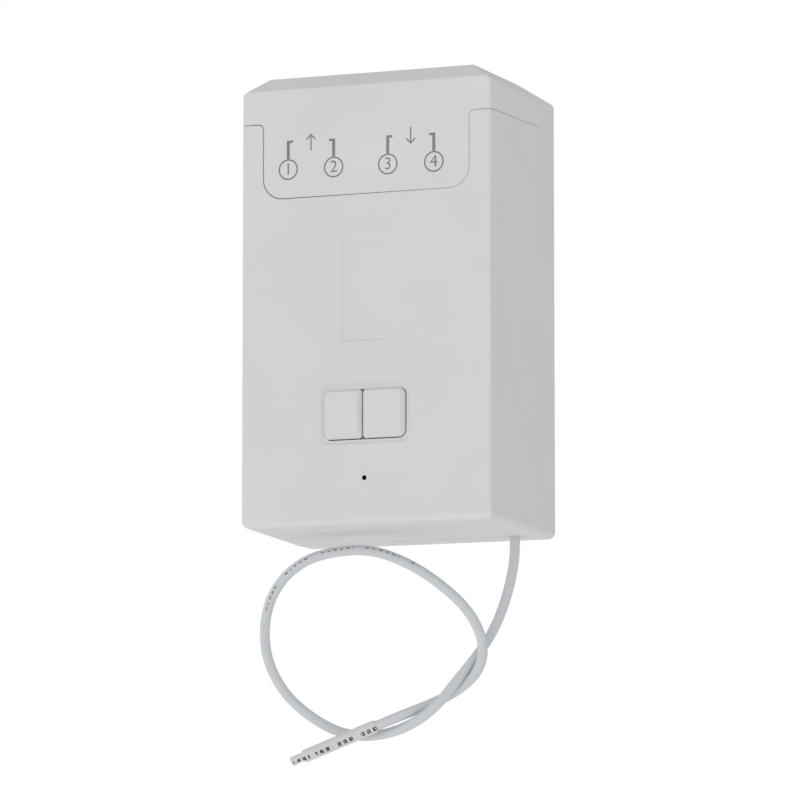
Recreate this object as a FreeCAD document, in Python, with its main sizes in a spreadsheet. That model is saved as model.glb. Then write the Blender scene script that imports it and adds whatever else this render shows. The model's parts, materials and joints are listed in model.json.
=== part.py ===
import FreeCAD, Part
import math
import os

# Wall-mounted radio receiver with push buttons, a lift-off terminal cover and a hanging aerial.
# Frame: origin at the centre of the back face where it meets the wall, +X to the right as seen
# from the front, the front faces -Y, +Z up. Lengths are millimetres.

DIMENSIONS = [
    # The case as a whole
    ("body_depth", 43.5, "wall to front face"),
    ("shell_depth", 32.7, "front face to the parting line"),
    ("face_width", 66.5, "front face, side to side"),
    ("face_height", 109.2, "front face, bottom edge to the start of the crown"),
    ("side_flare", 0.25, "mould draft of each side over the front shell"),
    ("bottom_drop", 1.15, "mould draft of the bottom over the front shell"),
    ("crown_rise", 3.65, "height of the bevelled crown above the front face"),
    ("crown_front", 3.9, "crown bevel, front to back"),
    ("crown_side", 6.0, "crown bevel, each side"),
    ("crown_side_drop", 4.2, "crown bevel, height lost at each side"),
    ("crown_land", 0.3, "flat top between the parting line and the bevel at the back"),
    ("crown_back_drop", 4.35, "crown bevel, height lost at the back plane"),
    ("wall", 2.0, "moulded wall thickness"),
    ("corner_round", 1.8, "radius of the case's bottom edges and their corners"),
    ("face_round", 0.8, "radius of the face side edges and of the cover edges"),
    ("crown_round", 0.5, "radius of the top edge of the base"),
    ("shoulder_round", 1.3, "radius where the base bevels meet its sides"),
    ("back_round", 0.8, "radius of the base's edges at the wall"),
    # The terminal cover's seam
    ("seam_level", 46.25, "seam above the middle of the front face"),
    ("seam_rise", 0.7, "how much the seam climbs on its way to the back"),
    ("seam_gap", 0.35, "gap between cover and shell"),
    ("seam_bevel", 0.4, "bevel on both lips of the seam"),
    ("ledge_depth", 1.0, "ledge behind the seam, below the outer face"),
    ("ledge_reach", 1.4, "ledge behind the seam, width"),
    ("ledge_play", 0.15, "play between the cover and the ledge behind its edge"),
    ("tab_width", 6.0, "snap tabs under the tongue, width"),
    ("tab_spacing", 30.0, "snap tabs under the tongue, spacing"),
    ("tab_reach", 1.8, "snap tabs behind the shell's face"),
    ("tab_thick", 1.1, "snap tabs, thickness"),
    ("tab_play", 0.15, "snap tabs, play behind the shell's face"),
    ("tongue_width", 55.0, "tongue of the cover on the front face"),
    ("tongue_drop", 19.0, "tongue below the seam"),
    ("tongue_round", 5.2, "bottom corners of the tongue"),
    ("tongue_shoulder", 1.4, "inside corners where the tongue leaves the seam"),
    # Badge recess, keypad and pinhole on the front face
    ("badge_width", 13.1, "shallow recess, width at the face"),
    ("badge_height", 26.5, "shallow recess, height at the face"),
    ("badge_level", 3.65, "recess centre above the middle of the face"),
    ("badge_depth", 0.35, "recess depth"),
    ("badge_side_width", 0.55, "width of the recess's sloped sides"),
    ("badge_round", 1.4, "recess corner radius"),
    ("lamp_window", 0.8, "wall left in front of the indicator lamps"),
    ("lamp_pocket_width", 7.0, "thinned wall behind the recess, width"),
    ("lamp_pocket_height", 19.0, "thinned wall behind the recess, height"),
    ("keypad_across", -0.45, "keypad centre, sideways"),
    ("keypad_level", -27.45, "keypad centre, height"),
    ("dish_width", 24.1, "sloped dish round the keys, width at the face"),
    ("dish_height", 16.2, "sloped dish round the keys, height at the face"),
    ("dish_shift", 0.35, "dish centre beyond the keypad centre, sideways"),
    ("dish_side_width", 0.95, "width of the slope"),
    ("dish_depth", 0.8, "depth of the slope"),
    ("dish_round", 2.5, "corner radius of the dish"),
    ("key_width", 10.6, "one push button, width"),
    ("key_height", 12.2, "one push button, height"),
    ("key_split", 0.5, "gap between the two push buttons"),
    ("key_clearance", 0.4, "gap between the buttons and the opening"),
    ("key_proud", 0.35, "how far the buttons stand out of the face"),
    ("key_bevel", 1.1, "bevel at the outer side and the foot of a button"),
    ("key_top_bevel", 0.45, "bevel along the top edge of a button"),
    ("key_inner_bevel", 0.45, "bevel where the two buttons face each other"),
    ("key_bevel_deep", 0.8, "depth of both bevels"),
    ("key_edge", 0.35, "radius of the bevels' edges"),
    ("key_round", 1.7, "outer corner radius of a button"),
    ("key_inner_round", 0.9, "corner radius of a button at the split"),
    ("key_stem", 4.0, "stem behind a button, diameter"),
    ("key_flange", 0.8, "retaining flange beyond the button's outline"),
    ("key_flange_thick", 1.0, "thickness of the retaining flange"),
    ("key_travel", 0.5, "how far a button pushes in"),
    ("stop_gap", 0.05, "play of a button against the front wall"),
    ("pin_across", -0.2, "pinhole, sideways"),
    ("pin_level", -43.35, "pinhole, height"),
    ("pin_bore", 1.2, "pinhole diameter"),
    # Inside the case
    ("deck_level", 24.0, "shelf under the terminal chamber, middle height"),
    ("deck_thick", 1.6, "shelf thickness"),
    ("board_thick", 1.6, "both circuit boards"),
    ("board_gap", 0.8, "between shelf and power board"),
    ("power_width", 45.6, "both boards, width"),
    ("power_side", 4.0, "power board's upper part, from the sides of the face"),
    ("power_top", 43.0, "power board, top edge"),
    ("board_bottom", -46.2, "both boards, bottom edge"),
    ("control_stand", 6.6, "control board in front of the shell's front wall"),
    ("control_top", 19.5, "control board, top edge"),
    ("board_hole_side", 3.3, "board screws, from the sides of the boards"),
    ("board_hole_low", -39.5, "board screws, lower row"),
    ("board_hole_high", 14.5, "board screws, upper row"),
    ("boss_size", 5.6, "board bosses, diameter"),
    ("board_screw_grip", 5.0, "board screws, length in their bosses"),
    ("screw_room", 1.0, "pilot holes beyond the ends of their screws"),
    ("board_hole", 2.9, "clearance hole for a board screw"),
    ("pilot_hole", 2.1, "pilot hole for a board screw"),
    ("board_screw_head", 4.8, "board screw, head diameter"),
    ("pillar_size", 6.4, "case pillars, diameter"),
    ("case_screw", 3.0, "case screw, diameter"),
    ("case_screw_head", 5.4, "case screw, head diameter"),
    ("case_pilot", 2.5, "pilot hole in a shell pillar"),
    ("case_screw_sink", 4.0, "seat of a case screw in front of the wall"),
    ("case_screw_grip", 10.2, "case screws, length in the shell's pillars"),
    ("low_pillar_x", 17.5, "lower case pillars, half spacing"),
    ("low_pillar_level", -50.6, "lower case pillars, height"),
    ("high_pillar_side", 6.2, "upper case pillars, from the sides of the face"),
    ("high_pillar_level", 18.0, "upper case pillars, height"),
    ("thread_play", 0.05, "radial play of a screw in its hole"),
    ("lip_deep", 1.2, "locating lip of the base inside the shell"),
    ("lip_thick", 0.9, "locating lip, thickness"),
    ("lip_play", 0.15, "locating lip, play inside the shell"),
    ("lip_start", 14.0, "locating lip above the case's bottom, clear of the aerial's lead"),
    # Wall fixings and cable entry in the base
    ("wall_hole_x", 25.5, "upper wall screws, half spacing"),
    ("wall_hole_level", 47.0, "upper wall screws, height"),
    ("wall_hole", 4.4, "wall screw hole, diameter"),
    ("keyhole_level", -27.0, "keyhole entry, height"),
    ("keyhole_entry", 8.6, "keyhole entry, diameter"),
    ("keyhole_rise", 8.0, "keyhole slot above its entry"),
    ("cable_width", 32.0, "cable opening, width"),
    ("cable_height", 7.6, "cable opening, height"),
    ("cable_level", 48.0, "cable opening, height of its middle"),
    # Terminals
    ("pole_pitch", 12.2, "distance between the two poles of a block"),
    ("left_block_x", -14.6, "left terminal block, middle"),
    ("right_block_x", 12.1, "right terminal block, middle"),
    ("block_bottom", 28.6, "terminal blocks, underside"),
    ("block_height", 13.0, "terminal blocks, height"),
    ("block_depth", 18.0, "terminal blocks in front of the power board"),
    ("block_nose", 3.0, "bevel on the upper front edge of a terminal block"),
    ("block_floor", 4.0, "terminal block behind the brass clamps"),
    ("cage_width", 7.4, "brass clamp, width"),
    ("cage_height", 8.4, "brass clamp, height"),
    ("cage_depth", 7.4, "brass clamp, depth"),
    ("cage_play", 0.15, "play of the brass clamp in its chamber"),
    ("entry_play", 0.3, "wire entry of the block beyond the one in the clamp"),
    ("screw_well", 0.6, "play round a clamping screw in the block"),
    ("screw_sunk", 2.0, "clamping screw below the block's front"),
    ("wire_entry", 3.8, "wire entry, diameter"),
    ("clamp_screw", 3.6, "clamping screw, diameter"),
    # Switches, lamps and parts on the boards
    ("switch_depth", 3.5, "switch bodies in front of the control board"),
    ("plunger_length", 0.8, "plunger ahead of the switch body"),
    ("plunger_seat", 1.2, "plunger inside the switch body"),
    ("plunger_spring", 0.3, "room left for the spring at full travel"),
    ("key_switch", 6.0, "switch under a push button, width"),
    ("key_plunger", 3.4, "plunger under a push button, diameter"),
    ("reset_switch", 4.5, "switch behind the pinhole, width"),
    ("reset_plunger", 2.0, "plunger behind the pinhole, diameter"),
    ("lamp_size", 3.0, "indicator lamps, diameter"),
    ("lamp_low_level", -2.0, "lower indicator lamp, height"),
    ("lamp_high_level", 9.0, "upper indicator lamp, height"),
    ("disc_size", 10.0, "surge disc, diameter"),
    ("disc_thick", 3.6, "surge disc, thickness"),
    ("disc_x", 16.6, "surge disc, left face"),
    ("disc_level", 2.4, "surge disc, height"),
    ("can_size", 8.0, "smoothing capacitor, diameter"),
    ("can_height", 11.5, "smoothing capacitor in front of its board"),
    ("can_x", 17.0, "smoothing capacitor, sideways"),
    ("can_level", -27.0, "smoothing capacitor, height"),
    ("lamp_height", 4.2, "indicator lamps in front of the control board"),
    ("fuse_axis", 4.2, "fuse centre line in front of the power board"),
    ("fuse_level", 19.6, "fuse centre line, height"),
    ("fuse_size", 4.8, "fuse glass, diameter"),
    ("fuse_cap_size", 5.2, "fuse caps, diameter"),
    ("fuse_length", 20.0, "fuse, length over its caps"),
    ("fuse_cap", 5.0, "fuse caps, length"),
    ("clip_width", 3.0, "fuse clips, width"),
    ("clip_height", 6.4, "fuse clips, height"),
    ("radio_board_thick", 0.8, "radio module's own board, thickness"),
    ("link_pitch", 2.54, "pins between the boards, pitch"),
    ("link_pin", 0.64, "pins between the boards, thickness"),
    # Aerial
    ("aerial_size", 2.3, "aerial wire, diameter"),
    ("aerial_play", 0.12, "play of the aerial in its notch"),
    ("aerial_x", 26.7, "aerial exit, sideways"),
    ("sleeve_size", 3.0, "shrink sleeve, diameter"),
    ("sleeve_length", 20.2, "shrink sleeve, length"),
    ("tip_length", 3.3, "pinched end of the sleeve"),
    ("tip_thick", 1.7, "pinched end, thickness"),
]

# Centre line of the free aerial wire from its exit to the shrink sleeve, in the frame of the case:
# down from the case, round one loose loop that rises to the underside, and through its crossing.
AERIAL_ROUTE = [
    (26.7, -10.8, -55.75),
    (26.7, -10.8, -60.0),
    (26.0, -11.8, -65.8),
    (24.6, -13.4, -72.4),
    (22.3, -15.6, -79.6),
    (19.2, -18.3, -85.9),
    (15.0, -20.9, -92.0),
    (10.6, -23.6, -98.5),
    (3.2, -22.9, -103.15),
    (-6.8, -20.6, -105.3),
    (-16.3, -19.9, -103.7),
    (-24.2, -20.9, -98.7),
    (-30.2, -22.6, -92.4),
    (-34.1, -24.5, -84.4),
    (-34.2, -26.3, -75.0),
    (-30.2, -27.7, -67.4),
    (-22.9, -28.7, -61.9),
    (-13.9, -28.9, -59.5),
    (-4.1, -28.6, -60.1),
    (5.2, -27.7, -63.9),
    (13.1, -26.3, -68.9),
    (19.6, -24.5, -75.0),
    (22.5, -22.3, -82.5),
    (21.0, -20.1, -89.6),
    (14.8, -18.6, -94.9),
    (7.2, -20.3, -98.0),
    (0.9, -23.9, -100.75),
    (-4.7, -24.6, -102.85),
]

doc = FreeCAD.newDocument("RadioReceiver")
sheet = doc.addObject("Spreadsheet::Sheet", "Sizes")
for row, (alias, size, note) in enumerate(DIMENSIONS, start=1):
    sheet.set(f"A{row}", note)
    sheet.set(f"B{row}", str(size))
    sheet.setAlias(f"B{row}", alias)
doc.recompute()


def size(alias):
    """The value of one driving dimension."""
    return float(sheet.get(alias))


# Planes and levels that several pieces share
FRONT = -size("body_depth")
PARTING = -(size("body_depth") - size("shell_depth"))
FACE_TOP = size("face_height") / 2
FACE_BOTTOM = -size("face_height") / 2
CASE_TOP = FACE_TOP + size("crown_rise")
SHOULDER = CASE_TOP - size("crown_side_drop")
CASE_BOTTOM = FACE_BOTTOM - size("bottom_drop")
HALF_FACE = size("face_width") / 2
HALF_BASE = HALF_FACE + size("side_flare")
FRONT_INSIDE = FRONT + size("wall")
CONTROL_FRONT = FRONT_INSIDE + size("control_stand")
CONTROL_BACK = CONTROL_FRONT + size("board_thick")
POWER_BACK = PARTING
POWER_FRONT = POWER_BACK - size("board_thick")
KEY_FACE = FRONT - size("key_proud")
KEY_SEAT = FRONT_INSIDE + size("stop_gap")
SWITCH_FRONT = CONTROL_FRONT - size("switch_depth")
PLUNGER_TIP = SWITCH_FRONT - size("plunger_length")
PLUNGER_END = SWITCH_FRONT + size("plunger_seat")
KEY_X = {
    "left": size("keypad_across") - (size("key_width") + size("key_split")) / 2,
    "right": size("keypad_across") + (size("key_width") + size("key_split")) / 2,
}
BOARD_HOLES = [
    (side * (size("power_width") / 2 - size("board_hole_side")), size(level))
    for level in ("board_hole_low", "board_hole_high")
    for side in (-1, 1)
]
HIGH_PILLAR_X = HALF_FACE - size("high_pillar_side")
PILLARS = [
    (side * across, size(level))
    for across, level in (
        (size("low_pillar_x"), "low_pillar_level"),
        (HIGH_PILLAR_X, "high_pillar_level"),
    )
    for side in (-1, 1)
]
CROWN_BACK = -PARTING - size("crown_land")
BLOCK_X = {"left": size("left_block_x"), "right": size("right_block_x")}
POLE_X = [BLOCK_X[block] + side * size("pole_pitch") / 2 for block in BLOCK_X for side in (-1, 1)]
BLOCK_MID = size("block_bottom") + size("block_height") / 2
BLOCK_FRONT = POWER_FRONT - size("block_depth")
CAGE_FRONT = POWER_FRONT - size("block_floor") - size("cage_depth")
V = FreeCAD.Vector

pieces = {}


def keep(label, thing):
    """Register a finished sub-part under the name of its file."""
    thing.Label = label
    pieces[label] = thing
    return thing


def new_body(label):
    """An empty PartDesign body."""
    return keep(label, doc.addObject("PartDesign::Body", label))


def bind(feature, **bindings):
    """Tie properties of a feature to expressions on the sheet."""
    for prop, expression in bindings.items():
        feature.setExpression(prop.replace("__", "."), expression)
    return feature


def put(feature, x=0.0, y=0.0, z=0.0, turn=None):
    """Place a primitive inside its body, with an optional turn about its own origin."""
    rotation = turn if turn else FreeCAD.Rotation()
    feature.Placement = FreeCAD.Placement(V(x, y, z), rotation)
    return feature


ALONG_Y = FreeCAD.Rotation(V(1, 0, 0), -90)
ALONG_X = FreeCAD.Rotation(V(0, 1, 0), 90)


def box(body, kind, name, low, high):
    """A block between two corners, added to a body or cut from it."""
    block = body.newObject(f"PartDesign::{kind}Box", name)
    block.Length, block.Width, block.Height = (high[i] - low[i] for i in range(3))
    return put(block, *low)


def rod(body, kind, name, radius, start, length, turn=None):
    """A cylinder from a start point, along +Z unless turned, added to a body or cut from it."""
    cylinder = body.newObject(f"PartDesign::{kind}Cylinder", name)
    cylinder.Radius = radius
    cylinder.Height = length
    return put(cylinder, *start, turn=turn)


def sketch_on(body, name, role, level=0.0):
    """A sketch on one of the body's origin planes, moved along that plane's normal."""
    sketch = body.newObject("Sketcher::SketchObject", name)
    plane = [item for item in body.Origin.OriginFeatures if item.Role == role][0]
    sketch.AttachmentSupport = [(plane, "")]
    sketch.MapMode = "FlatFace"
    sketch.AttachmentOffset = FreeCAD.Placement(V(0, 0, level), FreeCAD.Rotation())
    return sketch


def corner_arc(before, corner, after, radius):
    """Tangent points and arc that round one corner of a flat outline."""
    inward = (before - corner).normalize()
    outward = (after - corner).normalize()
    turn = math.pi - inward.getAngle(outward)
    reach = radius * math.tan(turn / 2)
    start = corner + inward * reach
    end = corner + outward * reach
    bisector = (inward + outward).normalize()
    centre = corner + bisector * (radius / math.cos(turn / 2))
    middle = centre - bisector * radius
    return start, Part.Arc(start, middle, end), end


def outline(points, radii):
    """Closed outline of straight sides whose corners are rounded where a radius is given."""
    corners = [V(a, b, 0) for a, b in points]
    count = len(corners)
    joints = []
    for i, corner in enumerate(corners):
        if radii[i] > 0:
            joints.append(corner_arc(corners[i - 1], corner, corners[(i + 1) % count], radii[i]))
        else:
            joints.append((corner, None, corner))
    parts = []
    for i, (start, arc, end) in enumerate(joints):
        if arc:
            parts.append(arc)
        following = joints[(i + 1) % count][0]
        if (following - end).Length > 1e-6:
            parts.append(Part.LineSegment(end, following))
    return parts


def rectangle(centre_a, centre_b, width, height, radius=0.0):
    """Outline of a rectangle with equal corner radii."""
    a, b = width / 2, height / 2
    points = [
        (centre_a - a, centre_b - b),
        (centre_a + a, centre_b - b),
        (centre_a + a, centre_b + b),
        (centre_a - a, centre_b + b),
    ]
    return outline(points, [radius] * 4)


def draw(sketch, *outlines):
    """Put closed outlines on a sketch."""
    for parts in outlines:
        for part in parts:
            sketch.addGeometry(part, False)
    return sketch


def pocket(body, name, sketch, depth=None, forwards=False, taper=0.0):
    """Cut a sketch into the body. Without a depth it runs right through, both ways."""
    doc.recompute()
    volume = body.Shape.Volume
    cut = body.newObject("PartDesign::Pocket", name)
    cut.Profile = sketch
    if depth is None:
        cut.SideType = "Symmetric"
        cut.Type = "ThroughAll"
    else:
        cut.Type = "Length"
        cut.Length = depth
        cut.Reversed = forwards
        cut.TaperAngle = taper
    sketch.Visibility = False
    doc.recompute()
    if body.Shape.Volume > volume - 1e-6:
        raise RuntimeError(f"{body.Label}: {name} cuts nothing")
    return cut


def pad(body, name, sketch, length, backwards=False, taper=0.0):
    """Raise a sketch out of its plane."""
    raised = body.newObject("PartDesign::Pad", name)
    raised.Profile = sketch
    raised.Length = length
    raised.Reversed = backwards
    raised.TaperAngle = taper
    sketch.Visibility = False
    doc.recompute()
    return raised


def edges_where(shape, test):
    """Names of the edges whose middle point and direction pass a test."""
    names = []
    for i, edge in enumerate(shape.Edges, start=1):
        middle = edge.valueAt((edge.FirstParameter + edge.LastParameter) / 2)
        span = edge.Vertexes[-1].Point - edge.Vertexes[0].Point
        if test(middle, span):
            names.append(f"Edge{i}")
    return names


def fillet(body, name, radius, test):
    """Round the edges of the body that pass a test."""
    doc.recompute()
    base = body.Tip
    names = edges_where(base.Shape, test)
    if not names:
        raise RuntimeError(f"{body.Label}: no edge for {name}")
    feature = body.newObject("PartDesign::Fillet", name)
    feature.Base = (base, names)
    feature.Radius = radius
    doc.recompute()
    return feature


def chamfer(body, name, width, test):
    """Bevel the edges of the body that pass a test."""
    doc.recompute()
    base = body.Tip
    names = edges_where(base.Shape, test)
    if not names:
        raise RuntimeError(f"{body.Label}: no edge for {name}")
    feature = body.newObject("PartDesign::Chamfer", name)
    feature.Base = (base, names)
    feature.Size = width
    doc.recompute()
    return feature


def near(a, b, slack=0.05):
    return abs(a - b) < slack


def runs_along(span, axis, share=0.98):
    return span.Length > 1e-6 and abs(span[axis]) > share * span.Length


def crown_bevels(body, back=False):
    """Cut the bevels of the crown: both sides and either the front or the back."""
    side = sketch_on(body, f"{body.Name}_crown_side", "XZ_Plane")
    inset = size("crown_side")
    slope = inset / size("crown_side_drop")
    over = 3.0
    for direction in (-1, 1):
        draw(side, outline([
            (direction * (HALF_FACE + slope * over), SHOULDER - over),
            (direction * (HALF_FACE + slope * over), CASE_TOP + over),
            (direction * (HALF_FACE - inset - slope * over), CASE_TOP + over),
        ], [0, 0, 0]))
    pocket(body, f"{body.Name}_crown_side_cut", side)
    end = sketch_on(body, f"{body.Name}_crown_end", "YZ_Plane")
    if back:
        drop, reach = size("crown_back_drop"), CROWN_BACK
        edge = 0.0
        towards = -1
    else:
        drop, reach = size("crown_rise"), size("crown_front")
        edge = FRONT
        towards = 1
    slope = reach / drop
    draw(end, outline([
        (edge - towards * slope * over, CASE_TOP - drop - over),
        (edge - towards * slope * over, CASE_TOP + over),
        (edge + towards * (reach + slope * over), CASE_TOP + over),
    ], [0, 0, 0]))
    pocket(body, f"{body.Name}_crown_end_cut", end)


def bevel_inside(level, start, inset, drop, start_level):
    """Inner face of a crown bevel at one height: the outer bevel, one wall thickness further in."""
    angle = math.atan2(drop, inset)
    outer = start - inset * (level - start_level) / drop
    return outer - size("wall") / math.sin(angle)


def side_inside(level):
    """Half width of the hollow between the side bevels at one height."""
    return bevel_inside(level, HALF_FACE, size("crown_side"), size("crown_side_drop"), SHOULDER)


def crown_cavity(body, low, top):
    """Hollow under the crown: a wedge between two levels, each with half width, front and back."""
    wedge = body.newObject("PartDesign::SubtractiveWedge", f"{body.Name}_crown_hollow")
    (low_z, low_half, low_front, low_back), (top_z, top_half, top_front, top_back) = low, top
    limit = HALF_FACE - size("wall")
    front_limit = size("body_depth") - size("wall")
    wedge.Ymin, wedge.Ymax = low_z, top_z
    wedge.Xmin, wedge.Xmax = -min(low_half, limit), min(low_half, limit)
    wedge.X2min, wedge.X2max = -top_half, top_half
    wedge.Zmin, wedge.Zmax = low_back, min(low_front, front_limit)
    wedge.Z2min, wedge.Z2max = top_back, top_front
    wedge.Placement = FreeCAD.Placement(V(0, 0, 0), FreeCAD.Rotation(V(1, 0, 0), 90))


def front_form(body):
    """The drafted hollow block that the front shell and the terminal cover are both cut from."""
    name = body.Name
    block = body.newObject("PartDesign::AdditiveWedge", f"{name}_block")
    bind(
        block,
        Xmin="-Sizes.face_width / 2",
        Xmax="Sizes.face_width / 2",
        Ymin="-Sizes.body_depth",
        Ymax="Sizes.shell_depth - Sizes.body_depth",
        Zmin="-Sizes.face_height / 2",
        Zmax="Sizes.face_height / 2 + Sizes.crown_rise",
        X2min="-Sizes.face_width / 2 - Sizes.side_flare",
        X2max="Sizes.face_width / 2 + Sizes.side_flare",
        Z2min="-Sizes.face_height / 2 - Sizes.bottom_drop",
        Z2max="Sizes.face_height / 2 + Sizes.crown_rise",
    )
    doc.recompute()
    crown_bevels(body)
    hollow = body.newObject("PartDesign::SubtractiveWedge", f"{name}_hollow")
    bind(
        hollow,
        Xmin="-Sizes.face_width / 2 + Sizes.wall",
        Xmax="Sizes.face_width / 2 - Sizes.wall",
        Ymin="Sizes.wall - Sizes.body_depth",
        Ymax="Sizes.shell_depth - Sizes.body_depth",
        Zmin="-Sizes.face_height / 2 + Sizes.wall",
        Zmax="Sizes.face_height / 2 - Sizes.wall / 2",
        X2min="-Sizes.face_width / 2 - Sizes.side_flare + Sizes.wall",
        X2max="Sizes.face_width / 2 + Sizes.side_flare - Sizes.wall",
        Z2min="-Sizes.face_height / 2 - Sizes.bottom_drop + Sizes.wall",
        Z2max="Sizes.face_height / 2 - Sizes.wall / 2",
    )
    low = FACE_TOP - size("wall") / 2
    top = CASE_TOP - size("wall")
    crown_cavity(
        body,
        (low, side_inside(low),
         bevel_inside(low, size("body_depth"), size("crown_front"), size("crown_rise"), FACE_TOP),
         -PARTING),
        (top, side_inside(top),
         bevel_inside(top, size("body_depth"), size("crown_front"), size("crown_rise"), FACE_TOP),
         -PARTING),
    )
    doc.recompute()


def tongue_outline(gap):
    """The tongue as seen from the front, grown by a gap, with the region above the seam."""
    half = size("tongue_width") / 2 + gap
    seam = size("seam_level") - gap
    low = size("seam_level") - size("tongue_drop") - gap
    top = CASE_TOP + 5.0
    side = HALF_BASE + 5.0
    foot = size("tongue_round") + gap
    shoulder = max(size("tongue_shoulder") - gap, 0.3)
    points = [
        (-side, seam),
        (-half, seam),
        (-half, low),
        (half, low),
        (half, seam),
        (side, seam),
        (side, top),
        (-side, top),
    ]
    return outline(points, [0, shoulder, foot, foot, shoulder, 0, 0, 0])


def skirt_outline(gap):
    """Side view of the region above the seam, which climbs towards the back."""
    seam = size("seam_level") - gap
    rise = size("seam_rise")
    climb = rise / size("shell_depth")
    over = 3.0
    return outline([
        (FRONT - over, seam - climb * over),
        (PARTING + over, seam + rise + climb * over),
        (PARTING + over, CASE_TOP + over),
        (FRONT - over, CASE_TOP + over),
    ], [0, 0, 0, 0])


def front_housing():
    """Front shell: face, sides and bottom, with the keypad, recess, pinhole, shelf and pillars."""
    body = new_body("front_housing")
    front_form(body)
    gap = size("seam_gap") / 2
    skirt = sketch_on(body, "skirt_line", "YZ_Plane")
    draw(skirt, skirt_outline(gap))
    pocket(body, "skirt_cut", skirt)
    tongue = sketch_on(body, "tongue_line", "XZ_Plane", -FRONT)
    draw(tongue, tongue_outline(gap))
    pocket(body, "tongue_cut", tongue, depth=size("ledge_depth"))
    through = sketch_on(body, "ledge_line", "XZ_Plane", -FRONT)
    draw(through, tongue_outline(-size("ledge_reach")))
    pocket(body, "ledge_cut", through, depth=size("wall") + 0.5)
    fillet(body, "cheeks", size("face_round"), lambda p, s:
           near(p.y, FRONT) and near(abs(p.x), HALF_FACE) and runs_along(s, 2))
    fillet(body, "bottom_edges", size("corner_round"), lambda p, s:
           (near(p.y, FRONT) and near(p.z, FACE_BOTTOM) and runs_along(s, 0))
           or (runs_along(s, 1, 0.9) and p.z < FACE_BOTTOM + 0.1
               and abs(p.x) > HALF_FACE - size("wall") / 2))

    chamfer(body, "seam_lip", size("seam_bevel"), lambda p, s:
            near(p.y, FRONT) and p.z > size("seam_level") - size("tongue_drop") - 1.0)
    for i, side in enumerate((-1, 1)):
        low_x, high_x = sorted((side * (HALF_FACE - size("wall") - 0.1),
                                side * (HALF_FACE - size("ledge_depth"))))
        box(body, "Additive", f"skirt_lip_{i}",
            (low_x, FRONT_INSIDE + size("ledge_play"), size("seam_level") - 1.0),
            (high_x, PARTING - size("ledge_play"), size("seam_level") + size("ledge_reach")))

    deck = size("deck_level")
    half_deck = size("deck_thick") / 2
    inner_half = HALF_FACE - size("wall") + 0.1
    box(body, "Additive", "deck",
        (-inner_half, FRONT_INSIDE - 0.5, deck - half_deck),
        (inner_half, POWER_FRONT - size("board_gap"), deck + half_deck))
    for i, side in enumerate((-1, 1)):
        low_x, high_x = sorted((side * HIGH_PILLAR_X, side * (HALF_FACE - size("wall") / 2)))
        web = size("deck_thick") / 2
        box(body, "Additive", f"gusset_{i}",
            (low_x, FRONT_INSIDE - 0.5, size("high_pillar_level") - web),
            (high_x, PARTING - 2 * size("lip_deep"), size("high_pillar_level") + web))
    for i, (x, z) in enumerate(PILLARS):
        rod(body, "Additive", f"pillar_{i}", size("pillar_size") / 2,
            (x, FRONT_INSIDE - 0.5, z), PARTING - FRONT_INSIDE + 0.5, ALONG_Y)
        depth = size("case_screw_grip") + size("screw_room")
        rod(body, "Subtractive", f"pillar_bore_{i}", size("case_pilot") / 2,
            (x, PARTING - depth, z), depth + 1.0, ALONG_Y)
    for i, (x, z) in enumerate(BOARD_HOLES):
        rod(body, "Additive", f"boss_{i}", size("boss_size") / 2,
            (x, FRONT_INSIDE - 0.5, z), size("control_stand") + 0.5, ALONG_Y)
        depth = size("board_screw_grip") + size("screw_room")
        rod(body, "Subtractive", f"boss_bore_{i}", size("pilot_hole") / 2,
            (x, CONTROL_FRONT - depth, z), depth + 1.0, ALONG_Y)
    doc.recompute()

    badge = sketch_on(body, "badge_line", "XZ_Plane", -FRONT)
    draw(badge, rectangle(0, size("badge_level"), size("badge_width"), size("badge_height"),
                          size("badge_round")))
    pocket(body, "badge_recess", badge, depth=size("badge_depth"),
           taper=-math.degrees(math.atan2(size("badge_side_width"), size("badge_depth"))))
    half = size("lamp_pocket_width") / 2
    tall = size("lamp_pocket_height") / 2
    window = FRONT + size("badge_depth") + size("lamp_window")
    box(body, "Subtractive", "lamp_pocket", (-half, window, size("badge_level") - tall),
        (half, FRONT_INSIDE + 0.2, size("badge_level") + tall))
    pad_x, pad_z = size("keypad_across"), size("keypad_level")
    dish = sketch_on(body, "dish_line", "XZ_Plane", -FRONT)
    draw(dish, rectangle(pad_x + size("dish_shift"), pad_z, size("dish_width"),
                         size("dish_height"), size("dish_round")))
    pocket(body, "dish", dish, depth=size("dish_depth"),
           taper=-math.degrees(math.atan2(size("dish_side_width"), size("dish_depth"))))
    opening = sketch_on(body, "key_line", "XZ_Plane", -FRONT)
    clear = size("key_clearance")
    draw(opening, rectangle(pad_x, pad_z, 2 * size("key_width") + size("key_split") + 2 * clear,
                            size("key_height") + 2 * clear, size("key_round") + clear))
    pocket(body, "key_opening", opening, depth=size("wall") + 0.5)
    rod(body, "Subtractive", "pinhole", size("pin_bore") / 2,
        (size("pin_across"), FRONT - 1.0, size("pin_level")), size("wall") + 2.0, ALONG_Y)
    rod(body, "Subtractive", "aerial_notch", size("aerial_size") / 2 + size("aerial_play"),
        (size("aerial_x"), PARTING, CASE_BOTTOM - 1.0), size("wall") + 2.5)
    doc.recompute()
    return body


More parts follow.
